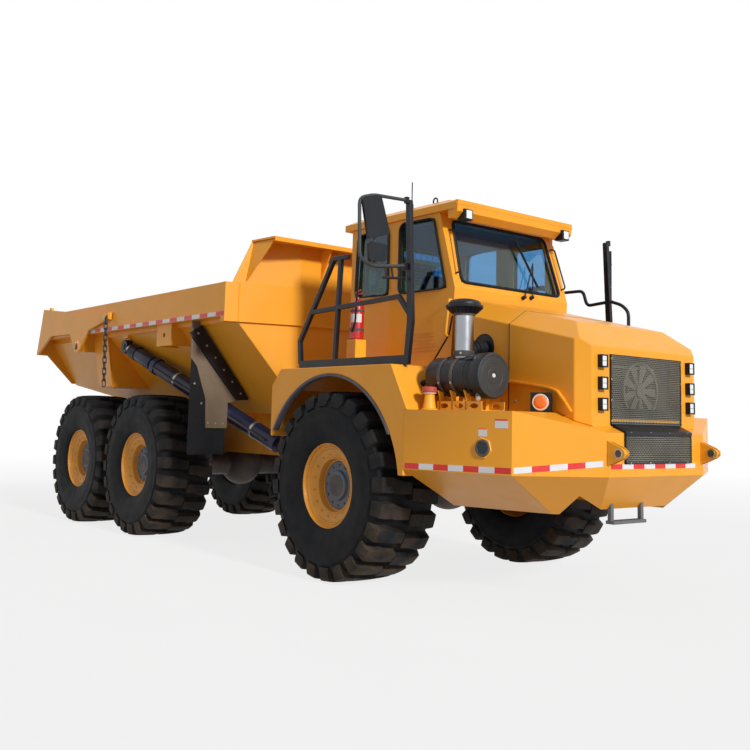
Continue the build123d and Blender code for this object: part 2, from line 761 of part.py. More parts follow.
def make_rear_frame():
    """Two deep rails, cross members, the bearing tube, bogie pivots, hoist and tip brackets."""
    inner, outer = rear_rail_y - rail_thick / 2, rear_rail_y + rail_thick / 2
    profile = [(rear_rail_front, 1000), (-2700, rear_rail_low), (rear_rail_rear + 500, rear_rail_low),
               (rear_rail_rear, rear_rail_low + 160), (rear_rail_rear, rear_rail_high),
               (-2500, rear_rail_high), (rear_rail_front, rear_rail_high - 160)]
    frame = both(across(profile, inner, outer))
    for x in (-2100, -3200, -5400, -7100):
        frame += block((x - 60, x + 60), (-inner, inner), (rear_rail_low + 40, rear_rail_high - 160))
    bearing = rod_between((bearing_rear, 0, journal_z), (bearing_front, 0, journal_z), bearing_radius)
    frame += bearing + block((-2160, bearing_rear), (-outer, outer), (journal_z - 150, journal_z + 150))
    hole = rod_between((journal_rear - 20, 0, journal_z), (bearing_front + 10, 0, journal_z), journal_radius + fit_gap)
    frame -= hole
    # tip hinge ears
    for side in (-1, 1):
        ear = across([(tip_x - 130, rear_rail_high - 40), (tip_x + 130, rear_rail_high - 40), (tip_x + 80, tip_z + 60),
                      (tip_x - 80, tip_z + 60)],
                     side * rear_rail_y - rail_thick / 2, side * rear_rail_y + rail_thick / 2)
        frame += ear
    frame += rod_between((tip_x, -tip_lug_y - 50, tip_z), (tip_x, tip_lug_y + 50, tip_z), tip_pin_radius)
    # hoist brackets
    x, y, z = hoist_base
    half = hoist_eye_thick / 2
    frame += both(block((x - 60, x + 110), (outer - 100, y - half - hoist_side_gap), (z - 120, z + 60)))
    # each pin has a crowned ball, on which the cylinder's eye can tilt
    pin = [(0, -half - 75), (hoist_pin_radius, -half - 75), (hoist_pin_radius, -half), (hoist_ball_edge, -half),
           (hoist_ball_radius, 0), (hoist_ball_edge, half), (hoist_pin_radius, half),
           (hoist_pin_radius, half + 15), (0, half + 15)]
    face = Plane(origin=(x, y, z), x_dir=(1, 0, 0), z_dir=(0, 0, 1)) * make_face(Polyline(*pin, close=True))
    frame += both(revolve(face, Axis((x, y, z), (0, 1, 0))))
    return frame


def make_bogie(x):
    return make_axle(x, track / 2 - tyre_width / 2)


def make_beams():
    """The two rocking beams that join the rear axles, with their pivots on the rails."""
    front, rear = -wheel_base, -wheel_base - bogie_base
    middle = (front + rear) / 2
    beams = []
    for side in (-1, 1):
        y = side * beam_y
        beam = across([(front + 150, wheel_z + axle_radius), (front - 150, wheel_z + axle_radius), (middle, wheel_z + 60),
                       (rear + 150, wheel_z + axle_radius), (rear - 150, wheel_z + axle_radius), (rear - 150, wheel_z + axle_radius + 90),
                       (middle, wheel_z + 420), (front + 150, wheel_z + axle_radius + 90)],
                      y - beam_thick / 2, y + beam_thick / 2)
        beam += rod_between((middle, side * (rear_rail_y + rail_thick / 2 + seat_gap), 1260), (middle, y, 1260), 90)
        beams.append(beam)
    return beams


def bed_slope(z):
    """Half width of the sloping side at a height."""
    return floor_half + (slope_half - floor_half) * (z - floor_z) / (rail_bottom_z - floor_z)


def bed_section(inset):
    """The bed's section across, drawn in by an inset."""
    lean = sqrt(1 + ((slope_half - floor_half) / (rail_bottom_z - floor_z)) ** 2)
    shift = inset * lean
    low = floor_z + inset
    return [(-bed_slope(low) + shift, low), (-slope_half + shift, rail_bottom_z), (-slope_half + inset, bed_rail_top + (1 if inset else 0)),
            (slope_half - inset, bed_rail_top + (1 if inset else 0)), (slope_half - shift, rail_bottom_z), (bed_slope(low) - shift, low)]


def bed_side(inset):
    """The bed's outline from the side, drawn in by an inset."""
    top = bed_rail_top + (200 if inset else 0)
    past = 300 if inset else 0
    rise = (tail_floor_z - floor_z) / (ramp_start - bed_tail)
    tail_top = bed_tail + tail_lean * (top - tail_floor_z)
    return [(bed_front - foot_back, floor_z + inset), (ramp_start, floor_z + inset),
            (bed_tail - past, tail_floor_z + inset + rise * past), (tail_top - past, top),
            (bed_front - inset, top), (bed_front - inset, rail_bottom_z - 20)]


def make_bed():
    """The dump body: sloping sides, floor rising to the tail, top rails and headboard."""
    outer = along(bed_section(0), bed_tail, bed_front) & across(bed_side(0), -2000, 2000)
    hollow = along(bed_section(bed_wall), bed_tail - 400, bed_front) & across(bed_side(bed_wall), -2000, 2000)
    bed = outer
    for side in (-1, 1):
        rail = [(side * (slope_half - 20), bed_rail_low), (side * bed_rail_half, bed_rail_low),
                (side * bed_rail_half, bed_rail_top), (side * (slope_half - 20), bed_rail_top)]
        bed += along(rail, bed_rail_rear, bed_front)
        low, high = sorted((side * (slope_half + 10), side * (bed_rail_half - 20)))
        bed -= block((bed_rail_rear - 10, bed_front - 20), (low, high), (bed_rail_low + 20, bed_rail_top - 20))
    head = along([(-slope_half, bed_rail_top - 10), (slope_half, bed_rail_top - 10), (head_half, head_top_z),
                  (-head_half, head_top_z)], bed_front - bed_wall, bed_front)
    bed += head
    lip = across([(bed_front - bed_wall, head_top_z - 24), (bed_front + lip_reach, head_top_z + lip_rise - 24),
                  (bed_front + lip_reach, head_top_z + lip_rise), (bed_front - bed_wall, head_top_z)], -head_half, head_half)
    bed += lip
    for y in (-head_half + 12, -430, 430, head_half - 12):
        rib = across([(bed_front, head_top_z - 260), (bed_front + lip_reach - 60, head_top_z + lip_rise - 40),
                      (bed_front, head_top_z - 10)], y - 12, y + 12)
        bed += rib
    # floor beams that rest on the rails, and the tip hinge lugs outside them
    rise = (tail_floor_z - floor_z) / (ramp_start - bed_tail)
    beam_end = tip_x + 200
    lug_top = floor_z + rise * (ramp_start - tip_x)
    for side in (-1, 1):
        y = side * bed_beam_y
        bed += across([(-2900, rear_rail_high + seat_gap), (beam_end, rear_rail_high + seat_gap),
                       (beam_end, floor_z + rise * (ramp_start - beam_end) + 4), (ramp_start, floor_z + 4), (-2900, floor_z + 4)],
                      y - bed_beam_thick / 2, y + bed_beam_thick / 2)
        y = side * tip_lug_y
        lug = across([(tip_x - 110, tip_z - 100), (tip_x + 110, tip_z - 100), (tip_x + 260, lug_top - 30), (tip_x - 200, lug_top + 35)],
                     y - 40, y + 40)
        bed += lug - rod_between((tip_x, y - 60, tip_z), (tip_x, y + 60, tip_z), tip_pin_radius + fit_gap)
    # gate pivots under the rails
    for side in (-1, 1):
        low, high = (slope_half - 60, bed_rail_half) if side > 0 else (-bed_rail_half, -slope_half + 60)
        bed += across([(gate_pivot_x - 90, gate_pivot_z - 70), (gate_pivot_x + 90, gate_pivot_z - 70), (gate_pivot_x + 160, bed_rail_low + 10),
                       (gate_pivot_x - 160, bed_rail_low + 10)], low, high)
        bed += rod_between((gate_pivot_x, side * (bed_rail_half - 30), gate_pivot_z),
                           (gate_pivot_x, side * (arm_inner + arm_thick), gate_pivot_z), gate_pin_radius)
    # hoist brackets under the rails
    x, y, z = hoist_eye
    bed += both(block((x - 70, x + 70), (y - 30, y + 30), (z + hoist_eye_radius + 25, bed_rail_low + 10)))
    return bed - hollow


def make_guards():
    """The stone guards ahead of the middle wheels, seated on the bed's sloping sides."""
    skew = seat_gap * 1.3
    points = [(bed_slope(guard_seat_low) + skew, guard_seat_low), (slope_half + skew, rail_bottom_z),
              (slope_half + skew, bed_rail_low - seat_gap), (guard_outer, bed_rail_low - seat_gap),
              (guard_outer, guard_low), (guard_inner, guard_low), (guard_inner, guard_seat_low)]
    return [along([(side * y, z) for y, z in points], guard_x - guard_thick, guard_x) for side in (-1, 1)]


def make_gate():
    """The tailgate: two side arms and the slanted rear panel."""
    top, low = gate_top, gate_low
    length = sqrt((top[0] - low[0]) ** 2 + (top[1] - low[1]) ** 2)
    up = ((top[0] - low[0]) / length, (top[1] - low[1]) / length)
    plane = Plane(origin=(low[0], 0, low[1]), x_dir=(0, 1, 0), z_dir=(up[1], 0, -up[0]))
    outer = arm_inner + arm_thick
    foot_z = low[1] - gate_drop * up[1]
    half = [(outer, length), (outer, 0), (slope_half + gate_edge, 0), (bed_slope(foot_z) + gate_edge, -gate_drop)]
    points = half + [(-y, s) for y, s in reversed(half)]
    gate = extrude(plane * make_face(Polyline(*points, close=True)), -gate_thick)
    x, z = gate_pivot_x, gate_pivot_z
    arm = [top, low, (-7460, 2800), (-6670, 2790), (x - 90, z - 60), (x + 60, z - 80), (x + 400, z + 230),
           (x + 900, z + 320), (x + 1000, chain_top), (x + arm_tip_x + 60, chain_top),
           (x + arm_tip_x + 60, chain_top + 100), (-6300, 3090)]
    for side in (-1, 1):
        a, b = sorted((side * arm_inner, side * outer))
        gate += across(arm, a, b)
    return gate - both(rod_between((x, arm_inner - 10, z), (x, outer + 10, z), gate_pin_radius + fit_gap))


def make_link(top, facing_side):
    """One flat chain link whose top is at a height, facing sideways or forward."""
    w, h = link_width / 2, link_height
    # half width, distance below the top
    outline = [(w * 0.45, 0), (w, h * 0.17), (w, h * 0.83), (w * 0.45, h)]
    slot = [(w - link_bar * 0.8, link_bar), (w - link_bar * 0.8, h - link_bar)]
    plate = across if facing_side else along

    def ring(points):
        return [(a, top - b) for a, b in points] + [(-a, top - b) for a, b in reversed(points)]

    return plate(ring(outline), -link_thick / 2, link_thick / 2) - plate(ring(slot), -link_thick, link_thick)


def make_chains():
    """The chains that hang from the tips of the gate's arms."""
    chains = []
    pitch = link_height - 2 * link_bar - seat_gap
    for side in (-1, 1):
        for k in range(link_count):
            link = make_link(chain_top - seat_gap - k * pitch, k % 2 == 0)
            chains.append(Pos(gate_pivot_x + arm_tip_x, side * chain_y, 0) * link)
    return chains


class Strut:
    """A cylinder's places: its base, its eye and the direction between them."""

    def __init__(self, base, eye):
        self.base, self.eye = Vector(*base), Vector(*eye)
        self.line = (self.eye - self.base).normalized()
        self.length = (self.eye - self.base).length

    def at(self, distance):
        return self.base + self.line * distance


def make_cylinder(strut, barrel_radius, barrel_length, gland, rod_radius, rod_start, eye_radius, eye_thick,
                  bore_radius, eye_axis):
    """A bored barrel with its base eye on a neck, and a rod through its gland with the top eye."""
    base_plane = Plane(origin=strut.base, z_dir=eye_axis).offset(-eye_thick / 2)
    eye_plane = Plane(origin=strut.eye, z_dir=eye_axis).offset(-eye_thick / 2)
    neck = eye_radius * 0.7
    tube_start = eye_radius + 45
    bore_start = tube_start + barrel_base

    def round_bar(start, end, radius):
        return extrude(Plane(origin=strut.at(start), z_dir=strut.line) * Circle(radius), end - start)

    barrel = round_bar(neck, tube_start + 10, eye_thick / 2) + extrude(base_plane * Circle(eye_radius), eye_thick)
    barrel += round_bar(tube_start, barrel_length, barrel_radius)
    barrel -= extrude(base_plane * Circle(bore_radius), eye_thick)
    barrel -= round_bar(bore_start, barrel_length - gland, barrel_radius - barrel_wall)
    barrel -= round_bar(barrel_length - gland - 10, barrel_length + 10, rod_radius + fit_gap)
    rod = round_bar(rod_start, strut.length - neck, rod_radius)
    return barrel, rod + extrude(eye_plane * Circle(eye_radius), eye_thick)


def at_side(point, side):
    return (point[0], side * point[1], point[2])


def steering_strut(side):
    return Strut((steer_base_x, side * steer_base_y, steer_z), (steer_eye_x, side * steer_eye_y, steer_z))


def hoist_strut(side):
    return Strut(at_side(hoist_base, side), at_side(hoist_eye, side))


def export(name, shape):
    solids = shape if isinstance(shape, list) else [shape]
    moved = [Pos(front_axle_x, 0, 0) * solid for solid in solids]
    part = moved[0] if len(moved) == 1 else Compound(children=moved)
    export_step(part, f"parts/{name}.step")


os.makedirs("parts", exist_ok=True)

export("front_frame", make_front_frame())
export("front_axle", make_front_axle())
engine, radiator = make_engine()
export("engine_block", engine)
export("radiator", radiator)
bumper = make_bumper()
export("bumper", bumper)
export("bumper_grille", make_bumper_grille())
export("front_step", make_front_step(bumper))
fender, flare = make_fender(), make_flare()
export("fender_right", fender)
export("fender_left", mirror(fender, about=Plane.XZ))
export("arch_flares", [flare, mirror(flare, about=Plane.XZ)])
export("cab_shell", make_cab_shell())
export("cab_roof", make_cab_roof())
export("cab_glass", make_cab_glass())
export("cab_seat", make_seat())
door, door_pane = make_door()
export("cab_door", door)
export("door_glass", door_pane)
export("roof_lamps", make_roof_lamps())
export("antenna", make_antenna())
export("hood", make_hood())
export("hood_grille", make_hood_grille())
export("headlamps", make_headlamps())
export("air_cleaner", make_air_cleaner())
export("intake_stack", make_stack())
export("fillers", [make_filler(), make_extinguisher()])
export("side_markers", make_markers())
handrail, mirror_arm = make_handrail(), make_mirror()
export("handrail_right", handrail)
export("handrail_left", mirror(handrail, about=Plane.XZ))
export("mirrors", mirror_arm + [mirror(arm, about=Plane.XZ) for arm in mirror_arm])
export("hitch", make_hitch())
export("rear_frame", make_rear_frame())
export("mid_axle", make_bogie(-wheel_base))
export("rear_axle", make_bogie(-wheel_base - bogie_base))
export("bogie_beams", make_beams())
export("dump_body", make_bed())
export("stone_guards", make_guards())
export("tailgate", make_gate())
export("gate_chains", make_chains())
for end, side in (("right", -1), ("left", 1)):
    barrel, rod = make_cylinder(steering_strut(side), steer_barrel_radius, steer_barrel_length, steer_gland,
                                steer_rod_radius, steer_rod_start, steer_eye_radius, steer_eye_thick,
                                steer_pin_radius + fit_gap, (0, 0, 1))
    export(f"steering_barrel_{end}", barrel)
    export(f"steering_rod_{end}", rod)
    barrel, rod = make_cylinder(hoist_strut(side), hoist_barrel_radius, hoist_barrel_length, hoist_gland,
                                hoist_rod_radius, hoist_rod_start, hoist_eye_radius, hoist_eye_thick,
                                hoist_ball_radius + fit_gap, (0, 1, 0))
    export(f"hoist_barrel_{end}", barrel)
    export(f"hoist_rod_{end}", rod)
tyre, rim = make_tyre(), make_rim()
for name, x, side in wheels:
    place = Pos(x, side * track / 2, wheel_z) * Rot(0, 0, 0 if side < 0 else 180)
    export(f"tyre_{name}", place * tyre)
    export(f"rim_{name}", place * rim)
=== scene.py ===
from math import atan2, cos, pi, radians, sin, sqrt

import bmesh
import bpy
from mathutils import Matrix, Vector


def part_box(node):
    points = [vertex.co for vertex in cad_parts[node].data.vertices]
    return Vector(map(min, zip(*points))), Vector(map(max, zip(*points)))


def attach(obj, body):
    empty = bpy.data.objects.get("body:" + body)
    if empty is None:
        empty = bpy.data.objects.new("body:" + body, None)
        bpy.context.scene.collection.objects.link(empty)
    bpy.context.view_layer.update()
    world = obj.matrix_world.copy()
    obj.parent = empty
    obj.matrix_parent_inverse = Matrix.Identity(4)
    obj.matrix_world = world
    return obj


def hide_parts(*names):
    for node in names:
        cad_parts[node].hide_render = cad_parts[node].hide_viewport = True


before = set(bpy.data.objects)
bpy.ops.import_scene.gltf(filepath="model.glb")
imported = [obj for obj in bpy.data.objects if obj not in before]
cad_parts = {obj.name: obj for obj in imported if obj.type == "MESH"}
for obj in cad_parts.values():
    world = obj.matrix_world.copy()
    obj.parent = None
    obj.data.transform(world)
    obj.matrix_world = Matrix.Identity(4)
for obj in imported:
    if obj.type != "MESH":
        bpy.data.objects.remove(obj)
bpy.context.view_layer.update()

# An articulated dump truck. Metres, +Z up, +X forward, +Y to the driver's left.
# Points are given from the front axle on the ground, and Form.place() moves them to the frame.
rim_low, rim_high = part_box("rim_front_right")
axle_x = (rim_low.x + rim_high.x) / 2
wheel_z = (rim_low.z + rim_high.z) / 2
wheel_xs = {name: (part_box(f"rim_{name}_right")[0].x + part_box(f"rim_{name}_right")[1].x) / 2 - axle_x
            for name in ("front", "mid", "rear")}
wheel_y = -(rim_low.y + rim_high.y) / 2


def srgb(red, green, blue):
    """A colour given as a screen shows it, from 0 to 255, as the linear colour that a shader takes."""
    return tuple((c / 255 / 12.92) if c < 11 else ((c / 255 + 0.055) / 1.055) ** 2.4
                 for c in (red, green, blue)) + (1.0,)


# Materials

def scaled(colour, factor):
    """A colour made lighter or darker."""
    return tuple(min(1.0, c * factor) for c in colour[:3]) + (1.0,)


def feed(tree, node, inputs):
    """Sets a node's inputs to values, or links them to other nodes' outputs."""
    for name, value in inputs.items():
        if isinstance(value, bpy.types.NodeSocket):
            tree.links.new(value, node.inputs[name])
        else:
            node.inputs[name].default_value = value


def added(tree, kind, inputs=(), operation=None):
    """A new shader node."""
    node = tree.nodes.new("ShaderNode" + kind)
    if operation:
        node.operation = operation
    feed(tree, node, dict(inputs))
    return node


def new_material(name):
    """A material, its node tree and its shader."""
    made = bpy.data.materials.new(name)
    made.use_nodes = True
    return made, made.node_tree, made.node_tree.nodes["Principled BSDF"]


def range_of(tree, value, source, target):
    """A value mapped from one range to another."""
    return added(tree, "MapRange", {"Value": value, "From Min": source[0], "From Max": source[1],
                                    "To Min": target[0], "To Max": target[1]}).outputs["Result"]


def link_noise(tree, scale, detail, low, high):
    """A noise in the part's own coordinates, mapped to run from low to high."""
    place = added(tree, "TexCoord").outputs["Object"]
    noise = added(tree, "TexNoise", {"Scale": scale, "Detail": detail, "Vector": place})
    return range_of(tree, noise.outputs["Fac"], (0.3, 0.7), (low, high))


def mix_colour(tree, factor, a, b):
    """A mix of two colours, each a colour or another node's output."""
    node = added(tree, "Mix")
    node.data_type = "RGBA"
    tree.links.new(factor, node.inputs["Factor"])
    for name, value in (("A", a), ("B", b)):
        socket = next(s for s in node.inputs if s.name == name and s.type == "RGBA")
        if isinstance(value, tuple):
            socket.default_value = value
        else:
            tree.links.new(value, socket)
    return next(s for s in node.outputs if s.type == "RGBA")


def finish_of(name, colour, roughness, metallic=0.0, vary=0.06, scale=2.5, grain=0.0, grain_scale=90.0,
              coat=0.0, dust=None, dust_share=0.0, dust_top=None, roughness_vary=0.07, specular=0.5):
    """A surface with uneven colour and gloss, a fine grain, and dust that thins out towards a height."""
    made, tree, shader = new_material(name)
    shade = mix_colour(tree, link_noise(tree, scale, 4, 0.0, 1.0), scaled(colour, 1 - vary),
                       scaled(colour, 1 + vary))
    if dust:
        amount = link_noise(tree, 5.0, 8, 0.0, dust_share)
        if dust_top:
            split = added(tree, "SeparateXYZ", {"Vector": added(tree, "TexCoord").outputs["Object"]})
            fade = range_of(tree, split.outputs["Z"], (dust_top, 0.0), (0.0, 1.0))
            amount = added(tree, "Math", {0: amount, 1: fade}, operation="MULTIPLY").outputs["Value"]
        shade = mix_colour(tree, amount, shade, dust)
    gloss = link_noise(tree, 7.0, 5, roughness - roughness_vary, roughness + roughness_vary)
    feed(tree, shader, {"Metallic": metallic, "Coat Weight": coat, "Specular IOR Level": specular,
                        "Coat Roughness": 0.12, "Base Color": shade, "Roughness": gloss})
    if grain:
        height = link_noise(tree, grain_scale, 3, 0.0, 1.0)
        bump = added(tree, "Bump", {"Strength": grain, "Distance": 0.004, "Height": height})
        tree.links.new(bump.outputs["Normal"], shader.inputs["Normal"])
    return made


def glass_of(name, colour):
    """Tinted glass with faint unevenness."""
    made, tree, shader = new_material(name)
    tint = mix_colour(tree, link_noise(tree, 1.5, 2, 0.0, 1.0), colour, scaled(colour, 1.08))
    feed(tree, shader, {"Transmission Weight": 1.0, "IOR": 1.45, "Base Color": tint,
                        "Roughness": link_noise(tree, 9.0, 3, 0.02, 0.05)})
    return made


yellow = srgb(247, 166, 40)
dust_brown = srgb(125, 104, 84)
paint = finish_of("body_yellow", yellow, 0.38, vary=0.035, coat=0.12, grain=0.05, grain_scale=55,
                  dust=srgb(196, 150, 96), dust_share=0.08, specular=0.25)
chassis = finish_of("chassis_yellow", srgb(232, 152, 40), 0.5, vary=0.08, grain=0.15,
                    dust=dust_brown, dust_share=0.75, dust_top=2.3)
rim_paint = finish_of("rim_yellow", srgb(243, 166, 46), 0.42, vary=0.06, grain=0.08, dust=dust_brown,
                      dust_share=0.28)
handle_yellow = finish_of("handle_yellow", srgb(250, 178, 46), 0.4, vary=0.04, grain=0.04)
black_paint = finish_of("black_paint", srgb(19, 23, 33), 0.34, vary=0.15, grain=0.08, dust=dust_brown,
                        dust_share=0.05, specular=0.28)
navy = finish_of("cylinder_navy", srgb(20, 32, 66), 0.34, vary=0.15, grain=0.05, dust=dust_brown,
                 dust_share=0.08, specular=0.35)
sidewall = finish_of("tyre_sidewall", srgb(13, 17, 22), 0.6, vary=0.18, grain=0.25, grain_scale=70,
                     dust=dust_brown, dust_share=0.04, specular=0.12)
tread = finish_of("tyre_tread", srgb(18, 21, 25), 0.75, vary=0.2, grain=0.6, grain_scale=45,
                  dust=srgb(92, 76, 60), dust_share=0.75, dust_top=1.9, specular=0.2)
plastic = finish_of("black_plastic", srgb(17, 21, 28), 0.42, vary=0.15, grain=0.2,
                    grain_scale=160, specular=0.3)
cap_grey = finish_of("cap_grey", srgb(52, 54, 54), 0.5, vary=0.08, grain=0.2, grain_scale=140)
rubber = finish_of("seal_rubber", srgb(17, 19, 23), 0.7, vary=0.2, grain=0.3, grain_scale=120, specular=0.25)
flare_black = finish_of("flare_black", srgb(52, 54, 70), 0.5, vary=0.1, grain=0.3, dust=dust_brown,
                        dust_share=0.25)
# the stone guards' yellow plate, darkened to a dull beige as painted shade, with dust on top
guard_shade_and_dust = finish_of("guard_painted_shade_and_dust", srgb(112, 98, 80), 0.7, vary=0.12, grain=0.3, dust=dust_brown,
                       dust_share=0.5)
steel = finish_of("bare_steel", srgb(160, 163, 168), 0.34, metallic=1.0, vary=0.12, scale=1.2, grain=0.01)
chrome = finish_of("rod_chrome", srgb(214, 216, 220), 0.12, metallic=1.0, vary=0.03, roughness_vary=0.03)
iron = finish_of("dark_iron", srgb(52, 52, 58), 0.6, vary=0.2, grain=0.5, dust=dust_brown, dust_share=0.55)
chain_iron = finish_of("chain_iron", srgb(46, 50, 60), 0.48, metallic=0.5, vary=0.2, grain=0.3)
zinc = finish_of("bolt_zinc", srgb(170, 168, 160), 0.4, metallic=0.9, vary=0.1)
hub_grey = finish_of("hub_grey", srgb(84, 100, 118), 0.5, vary=0.1, grain=0.2, dust=dust_brown,
                     dust_share=0.35)
step_grey = finish_of("step_grey", srgb(104, 106, 110), 0.5, metallic=0.3, vary=0.1, grain=0.3)
red = finish_of("signal_red", srgb(200, 26, 30), 0.3, vary=0.06, coat=0.4)
cap_red = finish_of("cap_red", srgb(190, 74, 70), 0.5, vary=0.08, grain=0.2)
tape_red = finish_of("tape_red", srgb(226, 34, 34), 0.3, vary=0.05, grain=0.25, grain_scale=240)
tape_white = finish_of("tape_white", srgb(228, 228, 230), 0.3, vary=0.04, grain=0.25, grain_scale=240)
label_white = finish_of("label_white", srgb(226, 222, 220), 0.45, vary=0.03)
amber = finish_of("amber_lens", srgb(255, 120, 28), 0.2, vary=0.06, grain=0.3, grain_scale=200)
lens_ring = finish_of("lens_ring", srgb(232, 214, 190), 0.3, vary=0.05)
lens_white = finish_of("lens_white", srgb(236, 238, 242), 0.16, vary=0.04, grain=0.4, grain_scale=150)
seat_cloth = finish_of("seat_cloth", srgb(34, 36, 42), 0.9, vary=0.2, grain=0.8, grain_scale=320)
cab_inside = finish_of("cab_lining", srgb(126, 150, 168), 0.8, vary=0.1, grain=0.3)
mirror_face = finish_of("mirror_face", srgb(120, 132, 146), 0.06, metallic=1.0,
                        vary=0.03, roughness_vary=0.02)
glass_side = glass_of("glass_side", srgb(96, 152, 190))
glass_front = glass_of("glass_front", srgb(190, 222, 242))
screen_wire = finish_of("screen_wire", srgb(132, 128, 116), 0.45, metallic=0.35, vary=0.25, grain=0.2)
core_grey = finish_of("core_grey", srgb(150, 146, 136), 0.6, metallic=0.2, vary=0.2,
                      grain=0.4, grain_scale=160)


# Shapes

ends = (("right", -1), ("left", 1))


def span(side, inner, outer):
    """A range across the truck on one side of it, lower end first."""
    return tuple(sorted((side * inner, side * outer)))


def linked(name, data):
    """A new object in the scene."""
    made = bpy.data.objects.new(name, data)
    bpy.context.scene.collection.objects.link(made)
    return made


def piece_of(name, mesh, materials):
    """A smooth object from a bmesh that is given from the front axle."""
    data = bpy.data.meshes.new(name)
    mesh.to_mesh(data)
    mesh.free()
    data.transform(Matrix.Translation((axle_x, 0, 0)))
    for material in materials:
        data.materials.append(material)
    for polygon in data.polygons:
        polygon.use_smooth = True
    return linked(name, data)


class Form:
    """Collects simple solids, given from the front axle, and places them as one piece."""

    def __init__(self, material):
        self.mesh = bmesh.new()
        self.materials = [material]
        self.index = 0

    def use(self, material):
        """The solids that follow have this material."""
        if material not in self.materials:
            self.materials.append(material)
        self.index = self.materials.index(material)
        return self

    def add(self, points, faces):
        """Faces over points, in the material in use."""
        made = [self.mesh.verts.new(p) for p in points]
        for face in faces:
            self.mesh.faces.new([made[k] for k in face]).material_index = self.index

    def prism(self, outline, axis, low, high):
        """A plate drawn in the two other axes, in their order, from low to high along its axis."""
        n = len(outline)
        points = []
        for c in (low, high):
            points += [{"x": (c, a, b), "y": (a, c, b), "z": (a, b, c)}[axis] for a, b in outline]
        sides = [(k, (k + 1) % n, n + (k + 1) % n, n + k) for k in range(n)]
        self.add(points, [tuple(range(n - 1, -1, -1)), tuple(range(n, 2 * n))] + sides)
        return self

    def box(self, x, y, z):
        """A box between pairs of values."""
        return self.prism([(x[0], y[0]), (x[1], y[0]), (x[1], y[1]), (x[0], y[1])], "z", z[0], z[1])

    def plate(self, corners, thick):
        """A flat plate through its corners, thick against their normal."""
        corners = [Vector(c) for c in corners]
        normal = (corners[1] - corners[0]).cross(corners[2] - corners[0]).normalized() * thick
        n = len(corners)
        sides = [(k, (k + 1) % n, n + (k + 1) % n, n + k) for k in range(n)]
        corners += [c - normal for c in corners]
        self.add(corners, [tuple(range(n)), tuple(range(2 * n - 1, n - 1, -1))] + sides)
        return self

    def tube(self, points, radius, sides=12, closed=False, flat=None):
        """A bar along points with mitred corners: round, or flat when its other half size is given."""
        points = [Vector(p) for p in points]
        n = len(points)
        other = flat or radius
        if flat:
            section = [(1, 1), (-1, 1), (-1, -1), (1, -1)]
        else:
            section = [(cos(2 * pi * k / sides), sin(2 * pi * k / sides)) for k in range(sides)]
        rings, across = [], None
        for k, point in enumerate(points):
            before = (point - points[k - 1]).normalized() if (closed or k) else None
            after = (points[(k + 1) % n] - point).normalized() if (closed or k < n - 1) else None
            before, after = before or after, after or before
            line = (before + after).normalized()
            if across is None:
                across = Vector((0, 0, 1)).cross(line)
                if across.length <= 0.02:
                    across = Vector((0, 1, 0)).cross(line)
                across.normalize()
            across = (across - line * across.dot(line)).normalized()
            up = line.cross(across)
            turn = before.cross(after)
            stretch = 1 / max(0.4, sqrt((1 + before.dot(after)) / 2))
            ring = []
            for a, b in section:
                offset = across * (a * radius) + up * (b * other)
                if turn.length > 1e-5:
                    bend = turn.cross(line).normalized()
                    offset += bend * offset.dot(bend) * (stretch - 1)
                ring.append(point + offset)
            rings.append(ring)
        m = len(section)
        faces = [(k * m + j, k * m + (j + 1) % m, ((k + 1) % n) * m + (j + 1) % m, ((k + 1) % n) * m + j)
                 for k in range(n if closed else n - 1) for j in range(m)]
        if not closed:
            faces += [tuple(range(m - 1, -1, -1)), tuple(range((n - 1) * m, n * m))]
        self.add([p for ring in rings for p in ring], faces)
        return self

    def turned(self, profile, origin, axis, steps=48, share=1.0, start=0.0):
        """A form turned about an axis, from pairs of distance along it and radius."""
        axis = Vector(axis).normalized()
        side = axis.orthogonal().normalized()
        other = axis.cross(side)
        origin = Vector(origin)
        columns = steps if share == 1.0 else steps + 1
        made = []
        for along, radius in profile:
            if radius < 1e-6:
                made.append([self.mesh.verts.new(origin + axis * along)])
                continue
            turns = [(start + share * k / steps) * 2 * pi for k in range(columns)]
            ring = [origin + axis * along + (side * cos(t) + other * sin(t)) * radius for t in turns]
            made.append([self.mesh.verts.new(point) for point in ring])
        for low, high in zip(made, made[1:]):
            for k in range(steps):
                j = (k + 1) % len(low) if len(low) > 1 else 0
                i = (k + 1) % len(high) if len(high) > 1 else 0
                ring = [low[k % len(low)], low[j], high[i], high[k % len(high)]]
                ring = [v for n, v in enumerate(ring) if v not in ring[:n]]
                if len(ring) > 2:
                    self.mesh.faces.new(ring).material_index = self.index
        return self

    def rod(self, start, end, radius, steps=24, edge=0.0):
        """A round bar with chamfered ends."""
        start, end = Vector(start), Vector(end)
        length = (end - start).length
        return self.turned([(0, 0), (0, radius - edge), (edge, radius), (length - edge, radius),
                            (length, radius - edge), (length, 0)], start, end - start, steps)

    def bolt(self, point, direction, radius=0.013):
        """A hexagon head on its washer."""
        washer, thick = radius * 1.4, radius * 0.25
        self.turned([(0, 0), (0, washer), (thick, washer), (thick, 0)], point, direction, 16)
        return self.turned([(0, 0), (0, radius), (radius * 0.8, radius), (radius * 0.95, radius * 0.8),
                            (radius * 0.95, 0)], point, direction, 6)

    def mirrored(self):
        """Adds the mirror image of everything on the other side of the truck."""
        old = list(self.mesh.faces)
        copies = {}
        for face in old:
            for vert in face.verts:
                if vert not in copies:
                    copies[vert] = self.mesh.verts.new((vert.co.x, -vert.co.y, vert.co.z))
        for face in old:
            made = self.mesh.faces.new([copies[v] for v in reversed(face.verts)])
            made.material_index = face.material_index
        return self

